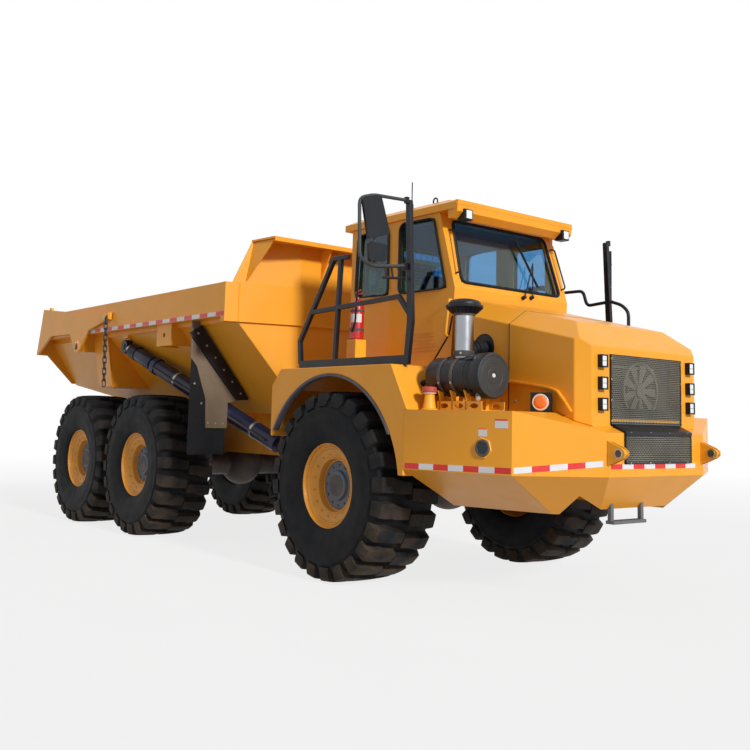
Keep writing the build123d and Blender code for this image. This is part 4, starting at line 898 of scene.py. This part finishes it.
fittings = Form(handle_yellow)
for side in (-1, 1):
    # grab bars up the cab's corners
    bar = [(0.862, cab_side, 2.425), (0.885, 0.905, 2.425), (0.930, 0.905, 2.775), (0.910, cab_side, 2.775)]
    fittings.use(handle_yellow).tube(rounded([(x, side * y, z) for x, y, z in bar], 0.03), 0.013, 12)
    for x, z in ((0.865, 2.425), (0.912, 2.775)):
        fittings.use(zinc).bolt((x, side * 0.854, z), (0, side, 0), 0.012)
    # handles up the windscreen posts
    low_x, high_x = screen_x(3.05), screen_x(3.50)
    bar = [(low_x + 0.002, 0.80, 3.05), (low_x + 0.06, 0.80, 3.06), (high_x + 0.06, 0.775, 3.50),
           (high_x + 0.002, 0.775, 3.51)]
    fittings.use(black_paint).tube(rounded([(x, side * y, z) for x, y, z in bar], 0.03), 0.009, 10)
    # lifting eyes on the roof
    turns = [2 * pi * k / 16 for k in range(16)]
    eye = [(0.484 + 0.032 * cos(turn), side * 0.70, 3.862 + 0.036 * sin(turn)) for turn in turns]
    fittings.use(black_paint).tube(eye, 0.009, 8, closed=True)
    fittings.box((0.455, 0.513), (side * 0.70 - 0.02, side * 0.70 + 0.02), (roof_top, 3.838))
# the visor's lower fold, the boss and the beads on the roof
fittings.use(paint).prism([(1.001, 3.775), (0.990, 3.660), (0.915, 3.600), (0.860, 3.600), (0.860, 3.690),
                           (0.950, 3.775)], "y", -0.872, 0.872)
fittings.use(paint).turned([(0, 0), (0, 0.050), (0.025, 0.046), (0.035, 0.036), (0.038, 0)],
                           (0.66, 0.13, roof_top), up, 32)
for k in range(3):
    x = -0.55 + 0.42 * k
    fittings.prism([(x, roof_top), (x + 0.04, roof_top), (x + 0.03, 3.842), (x + 0.01, 3.842)], "y",
                   -0.62, 0.62)
fittings.place("cab_fittings", "front", "body_paint", bevel=0.002, segments=1)

door_trim = Form(rubber)
door_window = rounded_outline([(0.19, 2.905), (0.68, 2.905), (0.67, 3.56), (0.19, 3.56)], 0.05)
door_trim.tube([(x, cab_side, z) for x, z in door_window], 0.018, closed=True, flat=0.007)
door_trim.use(plastic).box((0.64, 0.72), (0.850, 0.872), (2.66, 2.75))
latch = [(0.66, 0.872, 2.70), (0.66, 0.892, 2.70), (0.56, 0.892, 2.70), (0.56, 0.872, 2.70)]
door_trim.use(chrome).tube(rounded(latch, 0.01), 0.008, 10)
pull = [(0.20, cab_side, 2.45), (0.20, 0.900, 2.45), (0.20, 0.900, 2.80), (0.20, cab_side, 2.80)]
door_trim.use(black_paint).tube(rounded(pull, 0.03), 0.011, 10)
door_trim.place("door_trim", "cab_door", "rubber", sharp=35)

# Glass and lining

panes = Form(glass_side)
for side, outline in ((-1, rear_side), (-1, front_side), (1, rear_side)):
    panes.prism(outline, "y", *span(side, 0.816, 0.824))
panes.box((-0.694, -0.686), (-0.65, 0.65), (2.98, 3.58))
panes.use(glass_front)
panes.plate([(screen_x(z) - 0.030, y, z) for y, z in wide], 0.008)
panes.place("cab_panes", "front", "glass", ("cab_glass",), sharp=30)

lining = Form(cab_inside)
lining.box((-0.658, 0.66), (-0.788, 0.788), (3.60, 3.628))
lining.box((-0.658, -0.650), (-0.788, 0.788), (2.162, 2.93))
lining.box((-0.655, 0.83), (-0.788, -0.780), (2.162, 2.89))
lining.box((-0.655, 0.10), (0.780, 0.788), (2.162, 2.89))
lining.box((-0.655, 0.83), (-0.780, 0.780), (2.161, 2.168))
# the guard mesh inside the rear window
lining.use(label_white)
for k in range(14):
    y = -0.60 + k * 0.0923
    lining.box((-0.664, -0.660), (y - 0.003, y + 0.003), (2.99, 3.57))
for k in range(8):
    z = 3.01 + k * 0.078
    lining.box((-0.6635, -0.6605), (-0.62, 0.62), (z - 0.003, z + 0.003))
lining.place("cab_lining", "front", "black_plastic", sharp=30)

# the rail on the left deck, which drops round the mirror's post
left_rail = Form(black_paint)
rail_y = 1.49
for line, bend in (([(-0.03, 3.220), (0.341, 3.138), (0.654, 3.134), (0.711, 2.954), (1.00, 2.975)], 0.06),
                   ([(1.01, 2.990), (1.199, 2.925), (1.285, 2.842), (1.291, 1.690)], 0.10)):
    left_rail.tube(rounded([(x, rail_y, z) for x, z in line], bend), 0.019, 14)
left_rail.turned([(0, 0), (0, 0.05), (0.008, 0.05), (0.012, 0.019)], (1.291, rail_y, deck), up, 24)
left_rail.place("rail_front_left", "front", "black_paint", sharp=40)

# Mirrors

post_x, post_y = 0.985, 1.514
glasses = Form(cap_grey)
for side in (-1, 1):
    fold = radians(37) if side > 0 else 0.0

    def at(y, z, x=post_x):
        """A point of the mirror's frame: the left one is folded back about its post."""
        out, ahead = y - post_y, x - post_x
        return (post_x + ahead * cos(fold) - out * sin(fold),
                side * (post_y + out * cos(fold) + ahead * sin(fold)), z)

    corners = ((post_y, 3.655), (1.934, 3.640), (2.095, 3.585), (2.077, 3.035), (1.924, 2.975),
               (1.552, 3.020), (post_y, 3.024))
    glasses.use(cap_grey).tube(rounded([at(y, z) for y, z in corners], 0.06, 4), 0.017, 12)
    glasses.tube([at(1.911, 3.64), at(1.911, 2.985)], 0.014, 12)
    for z in (3.655, 3.022):
        glasses.use(black_paint).box((0.965, 1.005), span(side, 1.512, 1.545), (z - 0.03, z + 0.03))
    # the tall head and the wide-angle one below it
    for corners in ([(2.096, 3.590), (1.874, 3.640), (1.755, 3.288), (2.013, 3.210)],
                    [(2.013, 3.190), (1.789, 3.190), (1.795, 3.030), (1.995, 3.010)]):
        outline = rounded_outline(corners, 0.03, 3)
        glasses.use(plastic).plate([at(y, z, 1.030) for y, z in outline], 0.030 * side)
        middle = Vector((sum(c[0] for c in corners) / 4, sum(c[1] for c in corners) / 4))
        inner = [(middle.x + (y - middle.x) * 0.90, middle.y + (z - middle.y) * 0.92) for y, z in outline]
        glasses.use(mirror_face).plate([at(y, z, 0.9995) for y, z in inner], 0.003 * side)
    glasses.use(plastic).turned([(0, 0.0), (0, 0.030), (0.05, 0.030), (0.055, 0.0)],
                                at(1.911, 3.47, 0.975), (1, 0, 0), 20)
    for y, z in ((1.60, 2.93), (1.68, 2.90), (1.76, 2.89)):
        glasses.use(black_paint).tube([at(y, z), at(y + 0.02, 3.01)], 0.010, 8)
    glasses.use(black_paint).tube([at(1.53, 2.905), at(1.80, 2.885)], 0.013, 10)
glasses.place("mirrors_dressed", "front", "black_plastic", ("mirrors",), sharp=35)

# Driver's place: pads, frame, dash and wheel

place_at = Form(plastic)
place_at.box((-0.12, 0.26), (-0.18, 0.18), (2.161, 2.50))
for k in range(6):
    z = 2.30 + 0.033 * k
    place_at.box((-0.13, 0.27), (-0.19, 0.19), (z, z + 0.014))
place_at.box((-0.22, 0.28), (-0.23, 0.23), (2.50, 2.525))
place_at.prism([(0.60, 2.17), (0.80, 2.17), (0.80, 2.74), (0.72, 2.80), (0.62, 2.76)], "y", -0.60, 0.60)
place_at.use(cab_inside).prism([(0.62, 2.761), (0.72, 2.801), (0.79, 2.745), (0.79, 2.73), (0.62, 2.75)],
                               "y", -0.58, 0.58)
place_at.use(plastic).tube([(0.64, 0, 2.22), (0.50, 0, 2.78)], 0.038, 16)
wheel_axis = Vector((-0.24, 0, 0.97)).normalized()
wheel_centre, wheel_side = Vector((0.485, 0, 2.83)), Vector((0, 1, 0))
wheel_other = wheel_axis.cross(wheel_side)


def on_wheel(turn, radius):
    """A point round the steering wheel."""
    return wheel_centre + (wheel_side * cos(turn) + wheel_other * sin(turn)) * radius


place_at.tube([on_wheel(2 * pi * k / 40, 0.205) for k in range(40)], 0.014, 10, closed=True)
for turn in (0.5, 2.6, 4.7):
    place_at.tube([wheel_centre - wheel_axis * 0.03, on_wheel(turn, 0.200)], 0.011, 8)
place_at.place("cab_console", "front", "black_plastic", ("cab_seat",), bevel=0.006)


def pad(name, centre, half, lean, channels):
    """A crowned seat pad with sewn channels across it."""
    mesh = bmesh.new()
    bmesh.ops.create_cube(mesh, size=2.0)
    bmesh.ops.subdivide_edges(mesh, edges=mesh.edges, cuts=15, use_grid_fill=True)
    turn = Matrix.Rotation(radians(lean), 4, "Y")
    for vert in mesh.verts:
        u, v, w = vert.co
        pinch = 1 - 0.035 * (abs(w) < 0.99) * (1 - abs(u * v))
        crown = (1 - u ** 4) * (1 - v ** 4)
        groove = 1 - 0.10 * max(0.0, 1 - abs(((u * 0.5 + 0.5) * channels) % 1.0 - 0.5) * 9) * (w > 0)
        round_off = (1 - 0.16 * (u ** 2 * v ** 2)) * (1 - 0.05 * w ** 2 * (u ** 4 + v ** 4))
        height = w * (0.72 + 0.28 * crown) * (groove if w > 0.9 else 1.0)
        shaped = Vector((u * round_off * pinch * half[0], v * round_off * pinch * half[1], height * half[2]))
        vert.co = Vector(centre) + turn @ shaped
    made = piece_of(name, mesh, [seat_cloth])
    smooth = made.modifiers.new("smooth", "SUBSURF")
    smooth.levels = smooth.render_levels = 1
    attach(made, "front")


pad("seat_cushion", (0.035, 0, 2.585), (0.255, 0.245, 0.058), 0, 3)
pad("seat_back", (-0.215, 0, 2.94), (0.300, 0.235, 0.055), 80, 4)


# Dump body

bed_front, bed_tail, slope_half, rail_half = -1.86, -8.112, 1.48, 1.66
middle_half = 0.75  # of the front wall's flat middle
sheet = 0.024
rail_low, rail_top, board_top = 2.70, 3.17, 3.675
gate_x, gate_z = -6.36, 2.58


def bed_slope(z):
    """Half width of the sloping side at a height."""
    return 0.64 + (slope_half - 0.64) * (z - 1.64) / 1.06


bed = Form(paint)


def wall_x(y):
    """The front wall, swept back from its flat middle to the rails."""
    return bed_front - 0.264 * max(0.0, abs(y) - middle_half)


# height of the floor's underside along the truck
floor_line = [(-2.50, 1.64), (-5.50, 1.64), (bed_tail, 2.06)]
rise = 0.42 / 2.612  # of the floor behind -5.50, for each metre
wall_low, step = 1.95, 0.035
low_half = bed_slope(wall_low)
for (x0, z0), (x1, z1) in zip(floor_line, floor_line[1:]):
    a, b = bed_slope(z0), bed_slope(z1)
    bed.plate([(x0, a, z0), (x0, -a, z0), (x1, -b, z1), (x1, b, z1)], sheet)
bed.plate([(-2.50, 0.64, 1.64), (-2.50, -0.64, 1.64), (wall_x(low_half) - step, -low_half, wall_low),
           (wall_x(low_half) - step, low_half, wall_low)], -sheet)
bed.plate([(bed_front - step, middle_half, wall_low), (bed_front - step, middle_half, 2.72),
           (bed_front - step, -middle_half, 2.72), (bed_front - step, -middle_half, wall_low)], sheet)
# the folded beam across the front, between the rails
bed.prism([(bed_front, -middle_half), (bed_front, middle_half), (wall_x(rail_half), rail_half),
           (wall_x(rail_half) - 0.09, rail_half), (bed_front - 0.10, middle_half),
           (bed_front - 0.10, -middle_half), (wall_x(rail_half) - 0.09, -rail_half),
           (wall_x(rail_half), -rail_half)], "z", rail_low, rail_top)
for side in (-1, 1):
    sloping = [(x, side * bed_slope(z), z) for x, z in floor_line]
    sloping += [(-7.937, side * slope_half, rail_low), (wall_x(slope_half) - step, side * slope_half,
                                                        rail_low), (wall_x(low_half) - step,
                                                                    side * low_half, wall_low)]
    bed.plate(sloping, sheet * side)
    bed.plate([(wall_x(slope_half), side * slope_half, rail_low), (-7.937, side * slope_half, rail_low),
               (-7.808, side * slope_half, rail_top), (wall_x(slope_half), side * slope_half, rail_top)],
              -sheet * side)
    bed.plate([(bed_front - step, side * middle_half, wall_low),
               (wall_x(low_half) - step, side * low_half, wall_low),
               (wall_x(slope_half) - step, side * slope_half, 2.72),
               (bed_front - step, side * middle_half, 2.72)], sheet * side)
    bed.prism([(-7.70, side * 1.46), (-7.70, side * rail_half), (wall_x(rail_half) - 0.091, side * rail_half),
               (wall_x(1.46) - 0.091, side * 1.46)], "z", 2.762, 3.168)
    # the headboard's side, its lip's rib and an inner rib
    top_x = wall_x(1.357) - 0.012
    bed.plate([(bed_front - 0.012, side * middle_half, 3.16), (wall_x(1.576) - 0.012, side * 1.576, 3.16),
               (top_x, side * 1.357, board_top), (bed_front - 0.012, side * middle_half, board_top)],
              sheet * side)
    bed.plate([(wall_x(1.425) - 0.02, side * 1.425, 3.172), (top_x - 0.01, side * 1.343, 3.66),
               (-1.63, side * 1.30, 3.672)], 0.018 * side)
    bed.plate([(bed_front - 0.02, side * 0.45, 3.28), (bed_front - 0.02, side * 0.45, 3.66),
               (-1.64, side * 0.45, 3.672)], 0.018 * side)
    # floor beam, tip lug, gate pivot plate and hoist bracket
    bed.prism([(-2.9, 1.4405), (-6.7, 1.4405), (-6.7, 1.644 + rise * 1.2), (-5.5, 1.644), (-2.9, 1.644)], "y",
              side * 0.40 - 0.03, side * 0.40 + 0.03)
    lug_z = 1.64 + rise * 1.4
    bed.prism([(-7.01, 1.46), (-6.79, 1.46), (-6.64, lug_z - 0.03), (-7.10, lug_z + 0.035)], "y",
              side * 0.50 - 0.04, side * 0.50 + 0.04)
    bed.prism([(-6.45, 2.51), (-6.27, 2.51), (-6.20, 2.77), (-6.52, 2.77)], "y",
              *span(side, 1.42, rail_half - 0.002))
    bed.box((-5.17, -5.03), span(side, 1.45, 1.51), (2.66, 2.77))
    # the rib down the side behind the chain: a plate on two webs
    low_z, face = 1.98, 1.50
    bed.prism([(-6.24, 2.762), (-5.72, 2.762), (-5.46, low_z), (-5.90, low_z)], "y",
              *span(side, face, face + 0.014))
    for top_at, foot_at in ((-6.24, -5.90), (-5.734, -5.474)):
        bed.plate([(top_at, side * face, 2.762), (foot_at, side * face, low_z),
                   (foot_at, side * bed_slope(low_z), low_z), (top_at, side * slope_half, 2.762)], 0.012)
    bed.plate([(-5.90, side * face, low_z), (-5.474, side * face, low_z),
               (-5.474, side * bed_slope(low_z), low_z), (-5.90, side * bed_slope(low_z), low_z)], 0.012)
    # the lashing gusset with its hole
    holed(bed, (-3.70, side * 1.602, 2.620), (1, 0, 0), (0, 0, 1), (0.200, 0.142),
          (0.030, 0.030), 0.016 * side)
    for x in (-3.90, -3.512):
        bed.prism([(side * 1.60, 2.48), (side * 1.60, 2.762), (side * 1.47, 2.762),
                   (side * bed_slope(2.48), 2.48)], "x", x, x + 0.012)
    # rub strip below the rail
    bed.box((-5.0, -2.3), span(side, 1.475, 1.535), (2.71, 2.762))
    # the gate's pin
    bed.use(iron).rod((gate_x, side * (rail_half - 0.03), gate_z), (gate_x, side * 1.71, gate_z), 0.040,
                      24, 0.004)
    bed.bolt((gate_x, side * 1.71, gate_z), (0, side, 0), 0.020)
    bed.use(paint)
bed.plate([(bed_front - 0.012, -middle_half, 3.16), (bed_front - 0.012, middle_half, 3.16),
           (bed_front - 0.012, middle_half, board_top), (bed_front - 0.012, -middle_half, board_top)], sheet)
lip = [(wall_x(1.357) - 0.03, 1.357), (bed_front - 0.03, middle_half), (bed_front - 0.03, -middle_half),
       (wall_x(1.357) - 0.03, -1.357), (-1.60, -1.32), (-1.60, 1.32)]
bed.prism(lip, "z", 3.672, 3.696)
bed.box((-1.612, -1.596), (-1.315, 1.315), (3.640, 3.690))
for x in (-3.3, -4.5, -5.1):
    bed.box((x - 0.04, x + 0.04), (-0.60, 0.60), (1.56, 1.641))
bed.place("dump_body_dressed", "dump_body", "body_paint", ("dump_body",), bevel=0.007, segments=2)

bed_tape = Form(tape_red)
tape(bed_tape, (-6.02, -rail_half - 0.0005, 2.770), (wall_x(rail_half) - 0.004, -rail_half - 0.0005, 2.770),
     0.050, 20, False)
bed_tape.mirrored()
bed_tape.place("bed_tape", "dump_body", "red_paint")

# Stone guards: yellow plate, coloured a dull beige as painted shade and dust, rubber flap with its clamp bar,
# and the bolted bar across
guard = Form(guard_shade_and_dust)
for side in (-1, 1):
    x = -2.88
    outline = [(side * 0.785, 1.82), (side * 1.481, 2.70), (side * 1.481, 2.758), (side * 1.65, 2.758),
               (side * 1.65, 2.30), (side * 1.56, 2.20), (side * 1.42, 1.80), (side * 1.40, 1.44),
               (side * 1.10, 1.44), (side * 1.10, 1.76)]
    # the yellow plate in its dull beige of painted shade and dust
    guard.use(guard_shade_and_dust).prism(outline, "x", x - 0.022, x - 0.006)
    guard.use(rubber).box((x - 0.034, x - 0.024), span(side, 1.12, 1.63), (1.115, 2.30))
    bar = [(side * 1.69, 2.60), (side * 1.53, 2.70), (side * 0.91, 1.94),
           (side * 0.81, 1.80), (side * 0.99, 1.80)]
    guard.use(black_paint).prism(bar, "x", x - 0.004, x + 0.030)
    high, low = Vector((x + 0.030, side * 1.58, 2.60)), Vector((x + 0.030, side * 0.94, 1.88))
    for k in range(6):
        guard.use(zinc).bolt(high.lerp(low, k / 5), (1, 0, 0), 0.010)
    for k in range(5):
        guard.bolt((x - 0.005, side * (1.16 + 0.105 * k), 1.50 + max(0, k - 2) * 0.24), (1, 0, 0), 0.010)
guard.place("stone_guards_dressed", "dump_body", "rubber", ("stone_guards",), bevel=0.003, segments=1)

# Hoist: sleeves over the rods' upper ends, clamps and pipes

for end, side in ends:
    base, eye = Vector((-2.05, side * 0.760, 1.210)), Vector((-5.10, side * 1.480, 2.540))
    line = (eye - base).normalized()
    rod = Form(navy)
    rod.turned([(0.0, 0.066), (0.0, 0.098), (0.01, 0.101), (0.34, 0.101), (0.35, 0.096), (0.35, 0.066)],
               base + line * 2.76, line, 32)
    rod.use(black_paint).turned([(0.35, 0.066), (0.35, 0.106), (0.50, 0.106), (0.51, 0.066)],
                                base + line * 2.76, line, 32)
    rod.turned([(-0.048, 0.0), (-0.048, 0.094), (-0.044, 0.098), (0.044, 0.098), (0.048, 0.094),
                (0.048, 0.0)], eye, (0, 1, 0), 40)
    rod.use(iron).turned([(-0.060, 0.0), (-0.060, 0.036), (0.060, 0.036), (0.060, 0.0)], eye, (0, 1, 0), 24)
    rod.place(f"rod_sleeve_{end}", f"hoist_rod_{end}", "black_paint")
    barrel = Form(iron)
    for start in (0.55, 1.35, 2.15):
        barrel.use(zinc).turned([(0.0, 0.1052), (0.0, 0.109), (0.035, 0.109), (0.035, 0.1052)],
                                base + line * start, line, 40)
    barrel.use(navy).turned([(2.62, 0.1052), (2.62, 0.118), (2.70, 0.118), (2.705, 0.112), (2.705, 0.067)],
                            base, line, 40)
    out = line.cross(Vector((0, 0, 1))).normalized()
    if out.y * side < 0:
        out = -out
    barrel.use(iron).tube([base + line * 0.25 + out * 0.124, base + line * 2.60 + out * 0.124], 0.013, 10)
    barrel.place(f"barrel_trim_{end}", f"hoist_barrel_{end}", "steel")

# Gate arms: bushes with their bolts, chain anchors and lifting lugs
gate_trim = Form(paint)
for side in (-1, 1):
    y = side * 1.712
    gate_trim.use(paint).turned([(-0.002, 0.10), (0.006, 0.10), (0.010, 0.094), (0.010, 0.045)],
                                (gate_x, y - side * 0.004, gate_z), (0, side, 0), 40)
    gate_trim.use(zinc)
    for k in range(6):
        turn = 2 * pi * k / 6
        gate_trim.bolt((gate_x + 0.075 * cos(turn), y + side * 0.005, gate_z + 0.075 * sin(turn)),
                       (0, side, 0), 0.009)
    gate_trim.use(handle_yellow).prism([(-5.46, 2.93), (-5.25, 2.93), (-5.245, 3.02), (-5.45, 3.02)], "y",
                                       *span(side, 1.712, 1.722))
    gate_trim.use(iron).rod((-5.30, side * 1.708, 2.965), (-5.30, side * 1.735, 2.965), 0.020, 16, 0.003)
for side in (-1, 1):
    gate_trim.use(handle_yellow).prism([(-7.79, 3.19), (-7.76, 3.285), (-7.70, 3.285), (-7.62, 3.19)], "y",
                                       *span(side, 1.60, 1.64))
gate_trim.place("gate_trim", "tailgate", "body_paint", bevel=0.002, segments=1)

chain = Form(chain_iron)
link_count, link_straight, link_bend, link_bar = 12, 0.030, 0.024, 0.0085
for side in (-1, 1):
    top, foot = Vector((-5.30, side * 1.732, 2.95)), Vector((-5.245, side * 1.732, 1.98))
    along = (foot - top).normalized()
    for k in range(link_count):
        centre = top.lerp(foot, (k + 0.5) / link_count)
        across = Vector((0, 1, 0)) if k % 2 else along.cross(Vector((0, 1, 0)))
        oval = []
        for j in range(16):
            turn = 2 * pi * j / 16
            straight = link_straight if cos(turn) > 0 else -link_straight
            oval.append(centre + along * (straight + link_bend * cos(turn)) + across * link_bend * sin(turn))
        chain.tube(oval, link_bar, 8, closed=True)
chain.place("chain_links", "tailgate", "iron", ("gate_chains",), sharp=60)


# Camera, light and floor

def look(camera_from, forward, roll, focal_px, shift_px):
    """The photograph's view, from a fit of its camera to the wheels and the body."""
    camera = bpy.data.cameras.new("camera")
    camera.sensor_width = 36.0
    camera.lens = focal_px / 750 * camera.sensor_width
    camera.shift_y = shift_px / 750
    made = linked("camera", camera)
    back = -Vector(forward).normalized()
    right = Vector((0, 0, 1)).cross(back).normalized()
    up = back.cross(right)
    right, up = right * cos(roll) + up * sin(roll), up * cos(roll) - right * sin(roll)
    made.matrix_world = Matrix.Translation(camera_from) @ Matrix((right, up, back)).transposed().to_4x4()
    bpy.context.scene.camera = made


camera_yaw, camera_pitch, camera_roll = radians(38.9877), radians(6.9104), radians(1.4061)
look((axle_x + 7.769, -7.3746, 1.5577),
     (-cos(camera_yaw) * cos(camera_pitch), sin(camera_yaw) * cos(camera_pitch), sin(camera_pitch)),
     camera_roll, 964.649, -69.444)


def add_world(ambient):
    """A soft even light all round, which the camera, gloss and glass see as white."""
    world = bpy.data.worlds.new("studio")
    world.use_nodes = True
    bpy.context.scene.world = world
    tree = world.node_tree
    soft = tree.nodes["Background"]
    feed(tree, soft, {"Color": (1, 1, 1, 1), "Strength": ambient})
    seen = added(tree, "Background", {"Color": (1, 1, 1, 1), "Strength": 1.0})
    mixed = added(tree, "MixShader", {0: seen_by_eye(tree), 1: soft.outputs[0], 2: seen.outputs[0]})
    tree.links.new(mixed.outputs[0], tree.nodes["World Output"].inputs[0])


def seen_by_eye(tree):
    """1 for rays from the camera, and for those by gloss or through glass."""
    rays = added(tree, "LightPath")
    total = rays.outputs["Is Camera Ray"]
    for name in ("Is Glossy Ray", "Is Transmission Ray"):
        total = added(tree, "Math", {0: total, 1: rays.outputs[name]}, operation="MAXIMUM").outputs[0]
    return total


def add_lamp(name, direction, strength, spread):
    """A broad distant lamp that shines along a direction."""
    lamp = bpy.data.lights.new(name, "SUN")
    lamp.energy = strength
    lamp.angle = radians(spread)
    made = linked(name, lamp)
    made.rotation_mode = "QUATERNION"
    made.rotation_quaternion = Vector(direction).to_track_quat("-Z", "Y")


def add_floor():
    """A pale floor that fades to the white background and keeps the truck's shadow."""
    material, tree, shader = new_material("floor")
    tree.nodes.remove(shader)
    shade = mix_colour(tree, link_noise(tree, 0.8, 3, 0.0, 1.0), (0.50, 0.50, 0.50, 1), (0.54, 0.54, 0.54, 1))
    matt = added(tree, "BsdfDiffuse", {"Color": shade})
    white = added(tree, "Emission", {"Strength": 1.0, "Color": (1, 1, 1, 1)})
    # the share of white grows with the distance from the truck
    place = added(tree, "TexCoord").outputs["Object"]
    away = added(tree, "VectorMath", {0: place}, operation="LENGTH").outputs["Value"]
    fade = range_of(tree, away, (7.0, 26.0), (0.80, 1.0))
    share = added(tree, "Math", {0: seen_by_eye(tree), 1: fade}, operation="MULTIPLY").outputs[0]
    mixed = added(tree, "MixShader", {0: share, 1: matt.outputs[0], 2: white.outputs[0]})
    tree.links.new(mixed.outputs[0], tree.nodes["Material Output"].inputs[0])
    data = bpy.data.meshes.new("floor")
    size = 200.0
    data.from_pydata([(-size, -size, -0.001), (size, -size, -0.001), (size, size, -0.001),
                      (-size, size, -0.001)], [], [(0, 1, 2, 3)])
    data.materials.append(material)
    linked("floor", data)


add_world(0.36)
add_lamp("key", (-0.90, 0.075, -0.43), 2.75, 8)
add_floor()
bpy.context.scene.view_settings.view_transform = "Standard"
